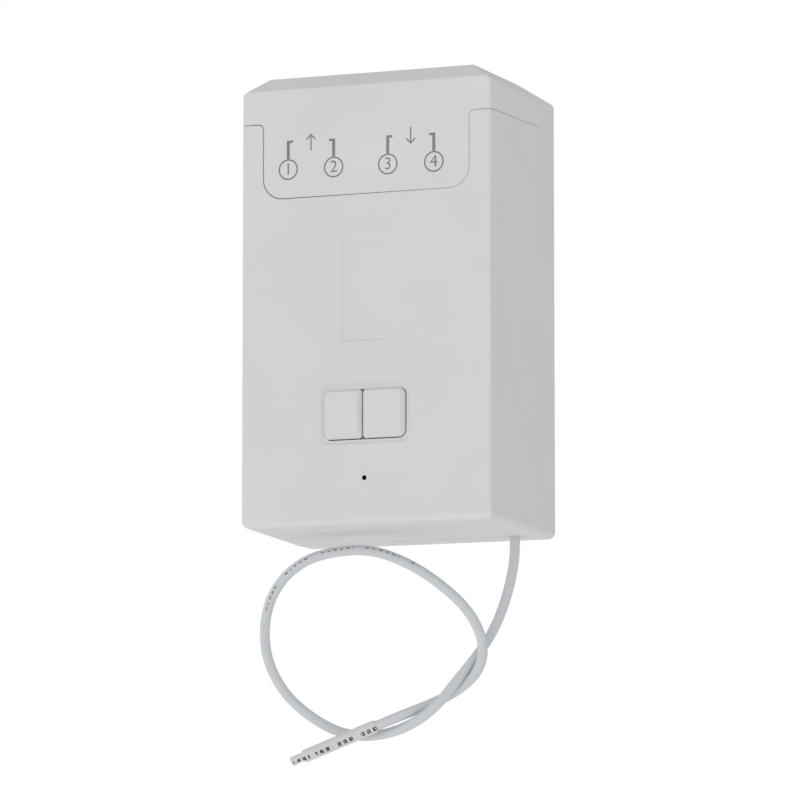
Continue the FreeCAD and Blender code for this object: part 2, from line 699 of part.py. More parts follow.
def tongue_rebate(body):
    """Thin the tongue's edge from behind, so that it lies in front of the shell's ledge."""
    strip = size("ledge_reach") + size("ledge_play")
    half = size("tongue_width") / 2
    low = size("seam_level") - size("tongue_drop")
    top = size("seam_level") + size("seam_gap") / 2 + size("ledge_play")
    over = 1.0
    edge = sketch_on(body, "rebate_line", "XZ_Plane", -FRONT_INSIDE)
    foot = size("tongue_round") - strip
    draw(edge, outline([
        (-half - over, top),
        (-half - over, low - over),
        (half + over, low - over),
        (half + over, top),
        (half - strip, top),
        (half - strip, low + strip),
        (-half + strip, low + strip),
        (-half + strip, top),
    ], [0, 0, 0, 0, 0, foot, foot, 0]))
    pocket(body, "tongue_rebate", edge, forwards=True,
           depth=size("wall") - size("ledge_depth") + size("ledge_play"))


def terminal_cover():
    """Lift-off cover: crown, side skirts and the tongue over the terminal chamber."""
    body = new_body("terminal_cover")
    front_form(body)
    gap = size("seam_gap") / 2
    inside = sketch_on(body, "skirt_line_cover", "YZ_Plane")
    seam = size("seam_level") + gap
    rise = size("seam_rise")
    climb = rise / size("shell_depth")
    over = 3.0
    back = FRONT_INSIDE
    level = seam + climb * (back - FRONT)
    draw(inside, outline([
        (back, level),
        (back, CASE_BOTTOM - over),
        (PARTING + over, CASE_BOTTOM - over),
        (PARTING + over, seam + rise + climb * over),
    ], [0, 0, 0, 0]))
    pocket(body, "cover_skirt_cut", inside)
    half = size("tongue_width") / 2 - gap
    low = size("seam_level") - size("tongue_drop") + gap
    side = HALF_BASE + 5.0
    face = sketch_on(body, "tongue_line_cover", "XZ_Plane", -FRONT)
    foot = size("tongue_round") - gap
    shoulder = size("tongue_shoulder") + gap
    draw(face, outline([
        (-side, seam),
        (-half, seam),
        (-half, low),
        (half, low),
        (half, seam),
        (side, seam),
        (side, CASE_BOTTOM - over),
        (-side, CASE_BOTTOM - over),
    ], [0, shoulder, foot, foot, shoulder, 0, 0, 0]))
    pocket(body, "cover_tongue_cut", face, depth=size("wall") + 0.01)
    tongue_rebate(body)
    inner = HALF_FACE - size("ledge_depth") + size("ledge_play")
    box(body, "Subtractive", "skirt_rebate", (-inner, FRONT_INSIDE, seam - 2.0),
        (inner, PARTING + 1.0, seam + rise + size("ledge_reach")))
    ridge = [(FRONT, FACE_TOP), (FRONT + size("crown_front"), CASE_TOP)]
    fillet(body, "cover_edges", size("face_round"), lambda p, s:
           (near(p.y, FRONT) and near(abs(p.x), HALF_FACE) and runs_along(s, 2))
           or (runs_along(s, 0) and any(near(p.y, y) and near(p.z, z) for y, z in ridge))
           or (runs_along(s, 1) and p.z > SHOULDER - 0.3 and abs(p.x) > size("tongue_width") / 4)
           or (near(p.y, FRONT) and SHOULDER - 0.1 < p.z < FACE_TOP + 0.1 and abs(p.x) > HALF_FACE - 1.0)
           or (p.z > SHOULDER + 0.5 and FRONT < p.y < FRONT + size("crown_front")
               and not runs_along(s, 0) and not runs_along(s, 1)
               and abs(p.x) > HALF_FACE - size("crown_side") - 0.5 and p.z < CASE_TOP - 0.5))
    chamfer(body, "cover_lip", size("seam_bevel"), lambda p, s:
            near(p.y, FRONT) and p.z < seam + 0.1)
    half_tab = size("tab_width") / 2
    for i, side in enumerate((-1, 1)):
        x = side * size("tab_spacing") / 2
        front = FRONT_INSIDE + size("tab_play")
        root = low - gap + size("ledge_reach") + 2 * size("ledge_play")
        box(body, "Additive", f"tab_root_{i}", (x - half_tab, FRONT_INSIDE - 0.5, root),
            (x + half_tab, front + size("tab_thick"), root + 3.0))
        box(body, "Additive", f"tab_{i}", (x - half_tab, front, low - gap - size("tab_reach")),
            (x + half_tab, front + size("tab_thick"), root + 1.0))
    doc.recompute()
    return body


def rear_base():
    """Rear base: a shallow tray that screws to the wall and carries the power board."""
    body = new_body("rear_base")
    box(body, "Additive", "tray", (-HALF_BASE, PARTING, CASE_BOTTOM), (HALF_BASE, 0.0, CASE_TOP))
    doc.recompute()
    crown_bevels(body, back=True)
    floor = -size("wall")
    low = FACE_TOP - size("wall")
    top = CASE_TOP - size("wall")
    back_start = CASE_TOP - size("crown_back_drop")
    box(body, "Subtractive", "tray_hollow",
        (-HALF_BASE + size("wall"), PARTING - 1.0, CASE_BOTTOM + size("wall")),
        (HALF_BASE - size("wall"), floor, low))
    crown_cavity(
        body,
        (low, side_inside(low),
         -PARTING + 1.0,
         -bevel_inside(low, 0.0, CROWN_BACK, size("crown_back_drop"), back_start)),
        (top, side_inside(top),
         -PARTING + 1.0,
         -bevel_inside(top, 0.0, CROWN_BACK, size("crown_back_drop"), back_start)),
    )
    doc.recompute()
    fillet(body, "tray_edges", size("corner_round"), lambda p, s:
           runs_along(s, 1, 0.9) and near(p.z, CASE_BOTTOM) and near(abs(p.x), HALF_BASE))
    fillet(body, "tray_shoulders", size("shoulder_round"), lambda p, s:
           runs_along(s, 1) and abs(p.x) > HALF_FACE and near(p.z, SHOULDER, 0.3))
    fillet(body, "tray_crown", size("crown_round"), lambda p, s:
           near(p.y, -CROWN_BACK) and near(p.z, CASE_TOP) and runs_along(s, 0))
    fillet(body, "tray_back", size("back_round"), lambda p, s:
           near(p.y, 0.0) and runs_along(s, 2) and near(abs(p.x), HALF_BASE))
    for i, (x, z) in enumerate(PILLARS):
        rod(body, "Additive", f"stand_{i}", size("pillar_size") / 2,
            (x, PARTING, z), floor - PARTING + 0.5, ALONG_Y)
        rod(body, "Subtractive", f"stand_bore_{i}", size("case_screw") / 2 + size("thread_play"),
            (x, PARTING - 1.0, z), -PARTING + 2.0, ALONG_Y)
        rod(body, "Subtractive", f"stand_sink_{i}", size("case_screw_head") / 2 + 0.3,
            (x, -size("case_screw_sink"), z), size("case_screw_sink") + 1.0, ALONG_Y)
    for i, (x, z) in enumerate(BOARD_HOLES):
        rod(body, "Additive", f"post_{i}", size("boss_size") / 2,
            (x, POWER_BACK, z), floor - POWER_BACK + 0.5, ALONG_Y)
        rod(body, "Subtractive", f"post_bore_{i}", size("pilot_hole") / 2,
            (x, POWER_BACK - 1.0, z), size("board_screw_grip") + size("screw_room") + 1.0, ALONG_Y)
    inner = HALF_BASE - size("wall") - size("lip_play")
    lip, thick = size("lip_deep"), size("lip_thick")
    foot = CASE_BOTTOM + size("lip_start")
    for i, side in enumerate((-1, 1)):
        low_x, high_x = sorted((side * (inner - thick), side * inner))
        box(body, "Additive", f"side_lip_{i}", (low_x, PARTING - lip, foot),
            (high_x, PARTING + 0.5, size("seam_level") - 2.0))
        low_x, high_x = sorted((side * (inner - thick), side * (HALF_BASE - 0.5)))
        box(body, "Additive", f"side_lip_root_{i}", (low_x, PARTING, foot),
            (high_x, PARTING + 2.0, size("seam_level") - 2.0))
    for i, side in enumerate((-1, 1)):
        rod(body, "Subtractive", f"wall_hole_{i}", size("wall_hole") / 2,
            (side * size("wall_hole_x"), floor - 1.0, size("wall_hole_level")),
            size("wall") + 2.0, ALONG_Y)
    rod(body, "Subtractive", "keyhole_entry", size("keyhole_entry") / 2,
        (0, floor - 1.0, size("keyhole_level")), size("wall") + 2.0, ALONG_Y)
    slot = sketch_on(body, "keyhole_line", "XZ_Plane")
    width = size("wall_hole")
    draw(slot, rectangle(0, size("keyhole_level") + size("keyhole_rise") / 2, width,
                         size("keyhole_rise") + width, width / 2 - 0.01))
    pocket(body, "keyhole_slot", slot, depth=size("wall") + 1.0, forwards=True)
    entry = sketch_on(body, "cable_line", "XZ_Plane")
    draw(entry, rectangle(0, size("cable_level"), size("cable_width"), size("cable_height"), 1.5))
    pocket(body, "cable_entry", entry, depth=size("wall") + 1.0, forwards=True)
    rod(body, "Subtractive", "base_notch", size("aerial_size") / 2 + size("aerial_play"),
        (size("aerial_x"), PARTING, CASE_BOTTOM - 1.0), size("wall") + 2.5)
    doc.recompute()
    return body


def key_outline(hand, inset, inner_inset, top_inset, radius, inner_radius):
    """Outline of a push button, drawn in at its outer side and foot, at the split and at the top."""
    x, z = KEY_X[hand], size("keypad_level")
    a, b = size("key_width") / 2, size("key_height") / 2
    left, right = (inset, inner_inset) if hand == "left" else (inner_inset, inset)
    corners = [
        (x - a + left, z - b + inset),
        (x + a - right, z - b + inset),
        (x + a - right, z + b - top_inset),
        (x - a + left, z + b - top_inset),
    ]
    first, second = (radius, inner_radius) if hand == "left" else (inner_radius, radius)
    return outline(corners, [first, second, second, first])


def push_button(hand):
    """One push button: bevelled face, retaining flange behind the wall and a short stem."""
    body = new_body(f"{hand}_button")
    x, z = KEY_X[hand], size("keypad_level")
    bevel, inner, top = size("key_bevel"), size("key_inner_bevel"), size("key_top_bevel")
    shoulder = KEY_FACE + size("key_bevel_deep")
    face = sketch_on(body, f"{hand}_face_line", "XZ_Plane", -KEY_FACE)
    draw(face, key_outline(hand, bevel, inner, top, size("key_round") - bevel / 2,
                           size("key_inner_round") - inner / 2))
    foot = sketch_on(body, f"{hand}_foot_line", "XZ_Plane", -shoulder)
    draw(foot, key_outline(hand, 0.0, 0.0, 0.0, size("key_round"), size("key_inner_round")))
    crown = body.newObject("PartDesign::AdditiveLoft", f"{hand}_crown")
    crown.Profile = face
    crown.Sections = [foot]
    crown.Ruled = True
    face.Visibility = False
    doc.recompute()
    line = sketch_on(body, f"{hand}_cap_line", "XZ_Plane", -shoulder)
    draw(line, key_outline(hand, 0.0, 0.0, 0.0, size("key_round"), size("key_inner_round")))
    pad(body, f"{hand}_cap", line, KEY_SEAT - shoulder, backwards=True)
    foot.Visibility = False
    fillet(body, f"{hand}_edge", size("key_edge"), lambda p, s:
           near(p.y, KEY_FACE) or near(p.y, shoulder))
    outward = -1 if hand == "left" else 1
    edge = x + outward * size("key_width") / 2
    split = x - outward * size("key_width") / 2
    half = size("key_height") / 2
    brim = size("key_flange") + size("key_clearance")
    low = (min(edge + outward * brim, split), KEY_SEAT, z - half - brim)
    high = (max(edge + outward * brim, split), KEY_SEAT + size("key_flange_thick"),
            z + half + brim)
    box(body, "Additive", f"{hand}_flange", low, high)
    rod(body, "Additive", f"{hand}_stem", size("key_stem") / 2, (x, KEY_SEAT, z),
        PLUNGER_TIP - KEY_SEAT, ALONG_Y)
    doc.recompute()
    return body


def switch(label, x, z, side, plunger):
    """Body of a board-mounted switch with the round hole its plunger slides in."""
    body = new_body(f"{label}_switch")
    half = side / 2
    well_end = PLUNGER_END + size("key_travel") + size("plunger_spring")
    box(body, "Additive", f"{label}_case", (x - half, SWITCH_FRONT, z - half),
        (x + half, CONTROL_FRONT, z + half))
    rod(body, "Subtractive", f"{label}_well", plunger / 2 + size("thread_play"),
        (x, SWITCH_FRONT - 1.0, z), well_end - SWITCH_FRONT + 1.0, ALONG_Y)
    doc.recompute()
    chamfer(body, f"{label}_case_edges", 0.3, lambda p, s:
            near(p.y, SWITCH_FRONT) and (runs_along(s, 0) or runs_along(s, 2)))
    return body


def plunger(label, x, z, diameter):
    """Plunger of a switch."""
    stem = doc.addObject("Part::Cylinder", f"{label}_plunger")
    stem.Radius = diameter / 2
    stem.Height = PLUNGER_END - PLUNGER_TIP
    stem.Placement = FreeCAD.Placement(V(x, PLUNGER_TIP, z), ALONG_Y)
    return keep(f"{label}_plunger", stem)


def circuit_boards():
    """Control board behind the face, and power board on the base with its wider terminal end."""
    half = size("power_width") / 2
    wide = HALF_FACE - size("power_side")
    low, high = size("board_bottom"), size("power_top")
    step = size("deck_level") + size("deck_thick") / 2 + 0.6
    body = new_body("power_board")
    line = sketch_on(body, "power_outline", "XZ_Plane", -POWER_FRONT)
    draw(line, outline(
        [(-half, low), (half, low), (half, step), (wide, step), (wide, high), (-wide, high),
         (-wide, step), (-half, step)],
        [1.0, 1.0, 0.5, 1.0, 1.0, 1.0, 1.0, 0.5]))
    pad(body, "power_sheet", line, size("board_thick"), backwards=True)
    for i, (x, z) in enumerate(BOARD_HOLES):
        rod(body, "Subtractive", f"power_hole_{i}", size("board_hole") / 2,
            (x, POWER_FRONT - 1.0, z), size("board_thick") + 2.0, ALONG_Y)
    body = new_body("control_board")
    line = sketch_on(body, "control_outline", "XZ_Plane", -CONTROL_FRONT)
    top = size("control_top")
    draw(line, outline([(-half, low), (half, low), (half, top), (-half, top)], [1.0] * 4))
    pad(body, "control_sheet", line, size("board_thick"), backwards=True)
    for i, (x, z) in enumerate(BOARD_HOLES):
        rod(body, "Subtractive", f"control_hole_{i}", size("board_hole") / 2,
            (x, CONTROL_FRONT - 1.0, z), size("board_thick") + 2.0, ALONG_Y)
    doc.recompute()


def terminal_block(hand):
    """Two-pole terminal block: a chamber for each brass clamp, screw holes and wire entries."""
    body = new_body(f"{hand}_terminal_block")
    centre = BLOCK_X[hand]
    half = size("pole_pitch")
    bottom = size("block_bottom")
    top = bottom + size("block_height")
    box(body, "Additive", f"{hand}_block", (centre - half, BLOCK_FRONT, bottom),
        (centre + half, POWER_FRONT, top))
    play = size("cage_play")
    half_cage = size("cage_width") / 2 + play
    for i, side in enumerate((-1, 1)):
        x = centre + side * size("pole_pitch") / 2
        box(body, "Subtractive", f"{hand}_chamber_{i}",
            (x - half_cage, CAGE_FRONT - play, BLOCK_MID - size("cage_height") / 2 - play),
            (x + half_cage, POWER_FRONT + 0.5, BLOCK_MID + size("cage_height") / 2 + play))
        rod(body, "Subtractive", f"{hand}_screw_hole_{i}", size("clamp_screw") / 2 + size("screw_well"),
            (x, BLOCK_FRONT - 1.0, BLOCK_MID), size("block_depth"), ALONG_Y)
        rod(body, "Subtractive", f"{hand}_entry_{i}", size("wire_entry") / 2 + size("entry_play"),
            (x, CAGE_FRONT + size("cage_depth") / 2, BLOCK_MID), size("block_height"))
    bevel = sketch_on(body, f"{hand}_nose_line", "YZ_Plane")
    nose = size("block_nose")
    draw(bevel, outline([
        (BLOCK_FRONT - 1.0, top - nose),
        (BLOCK_FRONT, top - nose),
        (BLOCK_FRONT + nose, top),
        (BLOCK_FRONT + nose, top + 1.0),
        (BLOCK_FRONT - 1.0, top + 1.0),
    ], [0] * 5))
    pocket(body, f"{hand}_nose", bevel)
    return body


def brass_clamps():
    """Four brass cages that grip the wires, each drilled for its wire and its screw."""
    cages = []
    for i, x in enumerate(POLE_X):
        cage = doc.addObject("Part::Box", f"cage_{i}")
        bind(cage, Length="Sizes.cage_width", Width="Sizes.cage_depth", Height="Sizes.cage_height")
        cage.Placement.Base = V(x - size("cage_width") / 2, CAGE_FRONT,
                                BLOCK_MID - size("cage_height") / 2)
        wire = doc.addObject("Part::Cylinder", f"cage_wire_{i}")
        bind(wire, Radius="Sizes.wire_entry / 2")
        wire.Height = size("cage_height") + 2.0
        wire.Placement.Base = V(x, CAGE_FRONT + size("cage_depth") / 2,
                                BLOCK_MID - size("cage_height") / 2 - 1.0)
        thread = doc.addObject("Part::Cylinder", f"cage_thread_{i}")
        thread.Radius = size("clamp_screw") / 2 + size("thread_play")
        thread.Height = size("cage_depth") / 2 + 1.0
        thread.Placement = FreeCAD.Placement(V(x, CAGE_FRONT - 1.0, BLOCK_MID), ALONG_Y)
        bores = doc.addObject("Part::MultiFuse", f"cage_bores_{i}")
        bores.Shapes = [wire, thread]
        drilled = doc.addObject("Part::Cut", f"cage_drilled_{i}")
        drilled.Base, drilled.Tool = cage, bores
        cages.append(drilled)
    group = doc.addObject("Part::Compound", "terminal_clamps")
    group.Links = cages
    return keep("terminal_clamps", group)


def slotted_screw(name, radius, length, slot, x, y, z):
    """Headless clamping screw with a driver slot in its front end."""
    shank = doc.addObject("Part::Cylinder", f"{name}_shank")
    shank.Radius, shank.Height = radius, length
    shank.Placement = FreeCAD.Placement(V(x, y, z), ALONG_Y)
    cutter = doc.addObject("Part::Box", f"{name}_driver")
    cutter.Length, cutter.Width, cutter.Height = 2 * radius + 1.0, slot * 1.5 + 1.0, slot
    cutter.Placement.Base = V(x - radius - 0.5, y - 1.0, z - slot / 2)
    screw = doc.addObject("Part::Cut", name)
    screw.Base, screw.Tool = shank, cutter
    return screw


def pan_screw(name, radius, length, head_radius, head, x, y, z, forwards):
    """Pan-head screw with a cross recess; y is the seat of its head, forwards points it to +Y."""
    way = 1 if forwards else -1
    turn = ALONG_Y if forwards else FreeCAD.Rotation(V(1, 0, 0), 90)
    shank = doc.addObject("Part::Cylinder", f"{name}_shank")
    shank.Radius, shank.Height = radius, length
    shank.Placement = FreeCAD.Placement(V(x, y, z), turn)
    cap = doc.addObject("Part::Cone", f"{name}_cap")
    cap.Radius1, cap.Radius2, cap.Height = head_radius, head_radius * 0.72, head
    back = FreeCAD.Rotation(V(1, 0, 0), 90) if forwards else ALONG_Y
    cap.Placement = FreeCAD.Placement(V(x, y, z), back)
    whole = doc.addObject("Part::MultiFuse", f"{name}_whole")
    whole.Shapes = [shank, cap]
    arms = []
    arm, width = head_radius * 0.9, 0.7
    for axis, (a, b) in enumerate(((arm, width), (width, arm))):
        cutter = doc.addObject("Part::Box", f"{name}_cross_{axis}")
        cutter.Length, cutter.Width, cutter.Height = a, head, b
        near_end = y - way * head * 1.4
        cutter.Placement.Base = V(x - a / 2, min(near_end, near_end + way * head), z - b / 2)
        arms.append(cutter)
    cross = doc.addObject("Part::MultiFuse", f"{name}_cross")
    cross.Shapes = arms
    screw = doc.addObject("Part::Cut", name)
    screw.Base, screw.Tool = whole, cross
    return screw


def group_of(label, members):
    """Identical fasteners that share one node."""
    group = doc.addObject("Part::Compound", label)
    group.Links = members
    return keep(label, group)


def screws():
    """Clamping, board and case screws."""
    start = BLOCK_FRONT + size("screw_sunk")
    length = CAGE_FRONT + size("cage_depth") / 2 - 1.0 - start
    group_of("terminal_screws", [
        slotted_screw(f"clamp_screw_{i}", size("clamp_screw") / 2, length, 0.9, x, start, BLOCK_MID)
        for i, x in enumerate(POLE_X)
    ])
    board_length = size("board_thick") + size("board_screw_grip")
    group_of("power_board_screws", [
        pan_screw(f"power_screw_{i}", size("pilot_hole") / 2 - size("thread_play"), board_length,
                  size("board_screw_head") / 2, 1.5, x, POWER_FRONT, z, True)
        for i, (x, z) in enumerate(BOARD_HOLES)
    ])
    group_of("control_board_screws", [
        pan_screw(f"control_screw_{i}", size("pilot_hole") / 2 - size("thread_play"), board_length,
                  size("board_screw_head") / 2, 1.5, x, CONTROL_BACK, z, False)
        for i, (x, z) in enumerate(BOARD_HOLES)
    ])
    case_length = -PARTING - size("case_screw_sink") + size("case_screw_grip")
    group_of("case_screws", [
        pan_screw(f"case_screw_{i}", size("case_pilot") / 2 - size("thread_play"), case_length,
                  size("case_screw_head") / 2, 1.8, x, -size("case_screw_sink"), z, False)
        for i, (x, z) in enumerate(PILLARS)
    ])


def board_box(label, board, low_x, low_z, wide, tall, deep, edge):
    """A boxy component that stands on the front of a board, with bevelled front edges."""
    body = new_body(label)
    box(body, "Additive", f"{label}_case", (low_x, board - deep, low_z),
        (low_x + wide, board, low_z + tall))
    doc.recompute()
    chamfer(body, f"{label}_edges", edge, lambda p, s:
            near(p.y, board - deep) or runs_along(s, 1))
    return body


def board_can(label, board, x, z, diameter, tall):
    """A round component that stands on the front of a board, with a rolled rim."""
    body = new_body(label)
    rod(body, "Additive", f"{label}_can", diameter / 2, (x, board - tall, z), tall, ALONG_Y)
    doc.recompute()
    fillet(body, f"{label}_rim", 0.6, lambda p, s: near(p.y, board - tall))
    return body


# Boxy parts on the boards: name, board front, left edge, bottom edge, width, height, depth, bevel
BOARD_BOXES = [
    ("relay", POWER_FRONT, -14.5, 2.4, 29.0, 12.6, 15.7, 0.6),
    ("transformer", POWER_FRONT, -21.0, -35.6, 32.0, 27.0, 17.0, 1.0),
    ("film_capacitor", POWER_FRONT, 13.4, -19.0, 8.0, 13.0, 12.0, 0.6),
    ("controller_chip", CONTROL_FRONT, -20.5, -6.0, 9.0, 9.0, 1.6, 0.3),
    ("rf_module_board", CONTROL_FRONT, 9.0, -14.0, 12.5, 16.0, size("radio_board_thick"), 0.2),
    ("rf_shield_can", CONTROL_FRONT - size("radio_board_thick"), 10.0, -12.5, 10.5, 11.0, 2.4, 0.4),
]
LINK_PINS = [(-14.0 + i * size("link_pitch"), -3.2) for i in range(6)]


def electronics():
    """Parts on the two boards, the lamps and the pins that join the boards."""
    for entry in BOARD_BOXES:
        board_box(*entry)
    board_can("smoothing_capacitor", POWER_FRONT, size("can_x"), size("can_level"),
              size("can_size"), size("can_height"))
    disc = doc.addObject("Part::Cylinder", "surge_disc")
    bind(disc, Radius="Sizes.disc_size / 2", Height="Sizes.disc_thick")
    disc.Placement = FreeCAD.Placement(
        V(size("disc_x"), POWER_FRONT - size("disc_size") / 2, size("disc_level")), ALONG_X)
    keep("surge_disc", disc)
    pin = size("link_pin")
    legs = []
    for i, (x, z) in enumerate(LINK_PINS):
        leg = doc.addObject("Part::Box", f"link_pin_{i}")
        bind(leg, Length="Sizes.link_pin", Height="Sizes.link_pin")
        leg.Width = POWER_FRONT - CONTROL_BACK
        leg.Placement.Base = V(x - pin / 2, CONTROL_BACK, z - pin / 2)
        legs.append(leg)
    group_of("board_link_pins", legs)
    lamps = []
    for i, z in enumerate((size("lamp_low_level"), size("lamp_high_level"))):
        lens = doc.addObject("Part::Cylinder", f"lamp_{i}")
        bind(lens, Radius="Sizes.lamp_size / 2", Height="Sizes.lamp_height")
        lens.Placement = FreeCAD.Placement(V(0, CONTROL_FRONT - size("lamp_height"), z), ALONG_Y)
        lamps.append(lens)
    group_of("indicator_lamps", lamps)


def fuse():
    """Glass fuse in its two spring clips on the power board."""
    y, z = POWER_FRONT - size("fuse_axis"), size("fuse_level")
    half = size("fuse_length") / 2
    cap_length = size("fuse_cap")
    glass = doc.addObject("Part::Cylinder", "fuse_glass")
    bind(glass, Radius="Sizes.fuse_size / 2", Height="Sizes.fuse_length - 2 * Sizes.fuse_cap")
    glass.Placement = FreeCAD.Placement(V(cap_length - half, y, z), ALONG_X)
    keep("fuse_glass", glass)
    width, tall = size("clip_width"), size("clip_height")
    caps, clips = [], []
    for i, start in enumerate((-half, half - cap_length)):
        cap = doc.addObject("Part::Cylinder", f"fuse_cap_{i}")
        bind(cap, Radius="Sizes.fuse_cap_size / 2", Height="Sizes.fuse_cap")
        cap.Placement = FreeCAD.Placement(V(start, y, z), ALONG_X)
        caps.append(cap)
        low_x = start + (cap_length - width) / 2
        block = doc.addObject("Part::Box", f"clip_block_{i}")
        block.Length, block.Width, block.Height = width, POWER_FRONT - y + 1.2, tall
        block.Placement.Base = V(low_x, y - 1.2, z - tall / 2)
        seat = doc.addObject("Part::Cylinder", f"clip_seat_{i}")
        seat.Radius, seat.Height = size("fuse_cap_size") / 2 + size("thread_play"), width + 1.0
        seat.Placement = FreeCAD.Placement(V(low_x - 0.5, y, z), ALONG_X)
        clip = doc.addObject("Part::Cut", f"fuse_clip_{i}")
        clip.Base, clip.Tool = block, seat
        clips.append(clip)
    group_of("fuse_caps", caps)
    group_of("fuse_clips", clips)


def rounded_route(points):
    """Straight runs joined by tangent arcs, each as large as its two runs allow."""
    corners = [V(*point) for point in points]
    edges, radii = [], []
    begin = corners[0]
    for before, corner, after in zip(corners, corners[1:], corners[2:]):
        inward, outward = before - corner, after - corner
        shorter = min(inward.Length, outward.Length)
        turn = math.pi - inward.getAngle(outward)
        reach = 0.45 * shorter
        radius = reach / math.tan(turn / 2)
        inward.normalize()
        outward.normalize()
        start = corner + inward * reach
        end = corner + outward * reach
        bisector = (inward + outward).normalize()
        middle = corner + bisector * (radius / math.cos(turn / 2) - radius)
        edges.append(Part.LineSegment(begin, start).toShape())
        edges.append(Part.Arc(start, middle, end).toShape())
        radii.append(radius)
        begin = end
    edges.append(Part.LineSegment(begin, corners[-1]).toShape())
    return Part.Wire(edges), radii


def gap_to_itself(path, diameter, skip=20.0):
    """Least gap between stretches of a wire that are more than a skip apart along it."""
    count = int(path.Length)
    spots = path.discretize(Number=count + 1)
    step = path.Length / count
    apart = int(skip / step)
    return min(
        spots[i].distanceToPoint(spots[j])
        for i in range(count + 1)
        for j in range(i + apart, count + 1)
    ) - diameter


def tube(label, points, diameter):
    """A round wire along a route."""
    path, radii = rounded_route(points)
    start = V(*points[0])
    ring = Part.Wire(Part.makeCircle(diameter / 2, start, V(*points[1]) - start))
    shape = path.makePipeShell([ring], True, False)
    feature = doc.addObject("Part::Feature", label)
    feature.Shape = shape
    expected = math.pi * diameter ** 2 / 4 * path.Length
    print(f"{label}: length {path.Length:.1f} mm, tightest radius {min(radii):.1f} mm,",
          f"volume {shape.Volume:.1f} of {expected:.1f} mm3")
    print("  radii", ", ".join(f"{radius:.1f}" for radius in radii))
    print(f"  least gap to itself {gap_to_itself(path, diameter):.2f} mm")
    return keep(label, feature)


def aerial():
    """The hanging aerial, its shrink sleeve with a pinched end, and its lead inside the case."""
    tube("aerial_wire", AERIAL_ROUTE, size("aerial_size"))
    start = V(*AERIAL_ROUTE[-1])
    along = (start - V(*AERIAL_ROUTE[-2])).normalize()
    turn = FreeCAD.Rotation(V(0, 0, 1), along)
    sleeve = doc.addObject("Part::Cylinder", "aerial_sleeve")
    bind(sleeve, Radius="Sizes.sleeve_size / 2", Height="Sizes.sleeve_length")
    sleeve.Placement = FreeCAD.Placement(start, turn)
    keep("aerial_sleeve", sleeve)
    pinch = new_body("aerial_tip")
    end = start + along * size("sleeve_length")
    width, thick, length = size("sleeve_size"), size("tip_thick"), size("tip_length")
    block = pinch.newObject("PartDesign::AdditiveBox", "tip_block")
    block.Length, block.Width, block.Height = width * 0.9, thick, length
    put(block, -width * 0.45, -thick / 2, 0.0)
    doc.recompute()
    fillet(pinch, "tip_round", 0.6, lambda p, s: runs_along(s, 2))
    pinch.Placement = FreeCAD.Placement(end, turn)
    x = size("aerial_x")
    tube("aerial_lead", [
        (x, PARTING, CASE_BOTTOM),
        (x, PARTING, CASE_BOTTOM + 6.0),
        (x - 0.6, PARTING - 2.6, CASE_BOTTOM + 13.0),
        (x - 2.4, PARTING - 8.6, CASE_BOTTOM + 18.6),
        (x - 4.8, PARTING - 16.0, CASE_BOTTOM + 20.6),
        (x - 4.8, CONTROL_BACK, CASE_BOTTOM + 20.6),
    ], size("aerial_size"))


for build in (front_housing, terminal_cover, rear_base, circuit_boards, brass_clamps, screws,
              electronics, fuse, aerial):
    build()
for hand in ("left", "right"):
    push_button(hand)
    terminal_block(hand)
    switch(hand, KEY_X[hand], size("keypad_level"), size("key_switch"), size("key_plunger"))
    plunger(hand, KEY_X[hand], size("keypad_level"), size("key_plunger"))
switch("reset", size("pin_across"), size("pin_level"), size("reset_switch"), size("reset_plunger"))
plunger("reset", size("pin_across"), size("pin_level"), size("reset_plunger"))
doc.recompute()

for thing in doc.Objects:
    if "Invalid" in thing.State or "Error" in thing.State:
        raise RuntimeError(f"{thing.Label} failed: {thing.State}")
for label, thing in pieces.items():
    if thing.Shape.isNull() or not thing.Shape.isValid():
        raise RuntimeError(f"{label} has no valid shape")
os.makedirs("parts", exist_ok=True)
for label, thing in pieces.items():
    thing.Shape.exportStep(os.path.join("parts", f"{label}.step"))
    box_of = thing.Shape.BoundBox
    print(f"{label:24s} solids {len(thing.Shape.Solids)} volume {thing.Shape.Volume:9.1f}",
          f"x {box_of.XMin:.1f}..{box_of.XMax:.1f} y {box_of.YMin:.1f}..{box_of.YMax:.1f}",
          f"z {box_of.ZMin:.1f}..{box_of.ZMax:.1f}")
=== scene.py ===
# %% [markdown]
# # A wall-mounted radio receiver
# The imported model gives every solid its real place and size, in metres. This script dresses it:
# soft moulded edges, printed marks, a supple aerial and a finish for each material.
# The front faces -Y, the wall is at Y = 0, and Z points up.

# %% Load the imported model
import json
import math

import bmesh
import bpy
from mathutils import Matrix, Vector


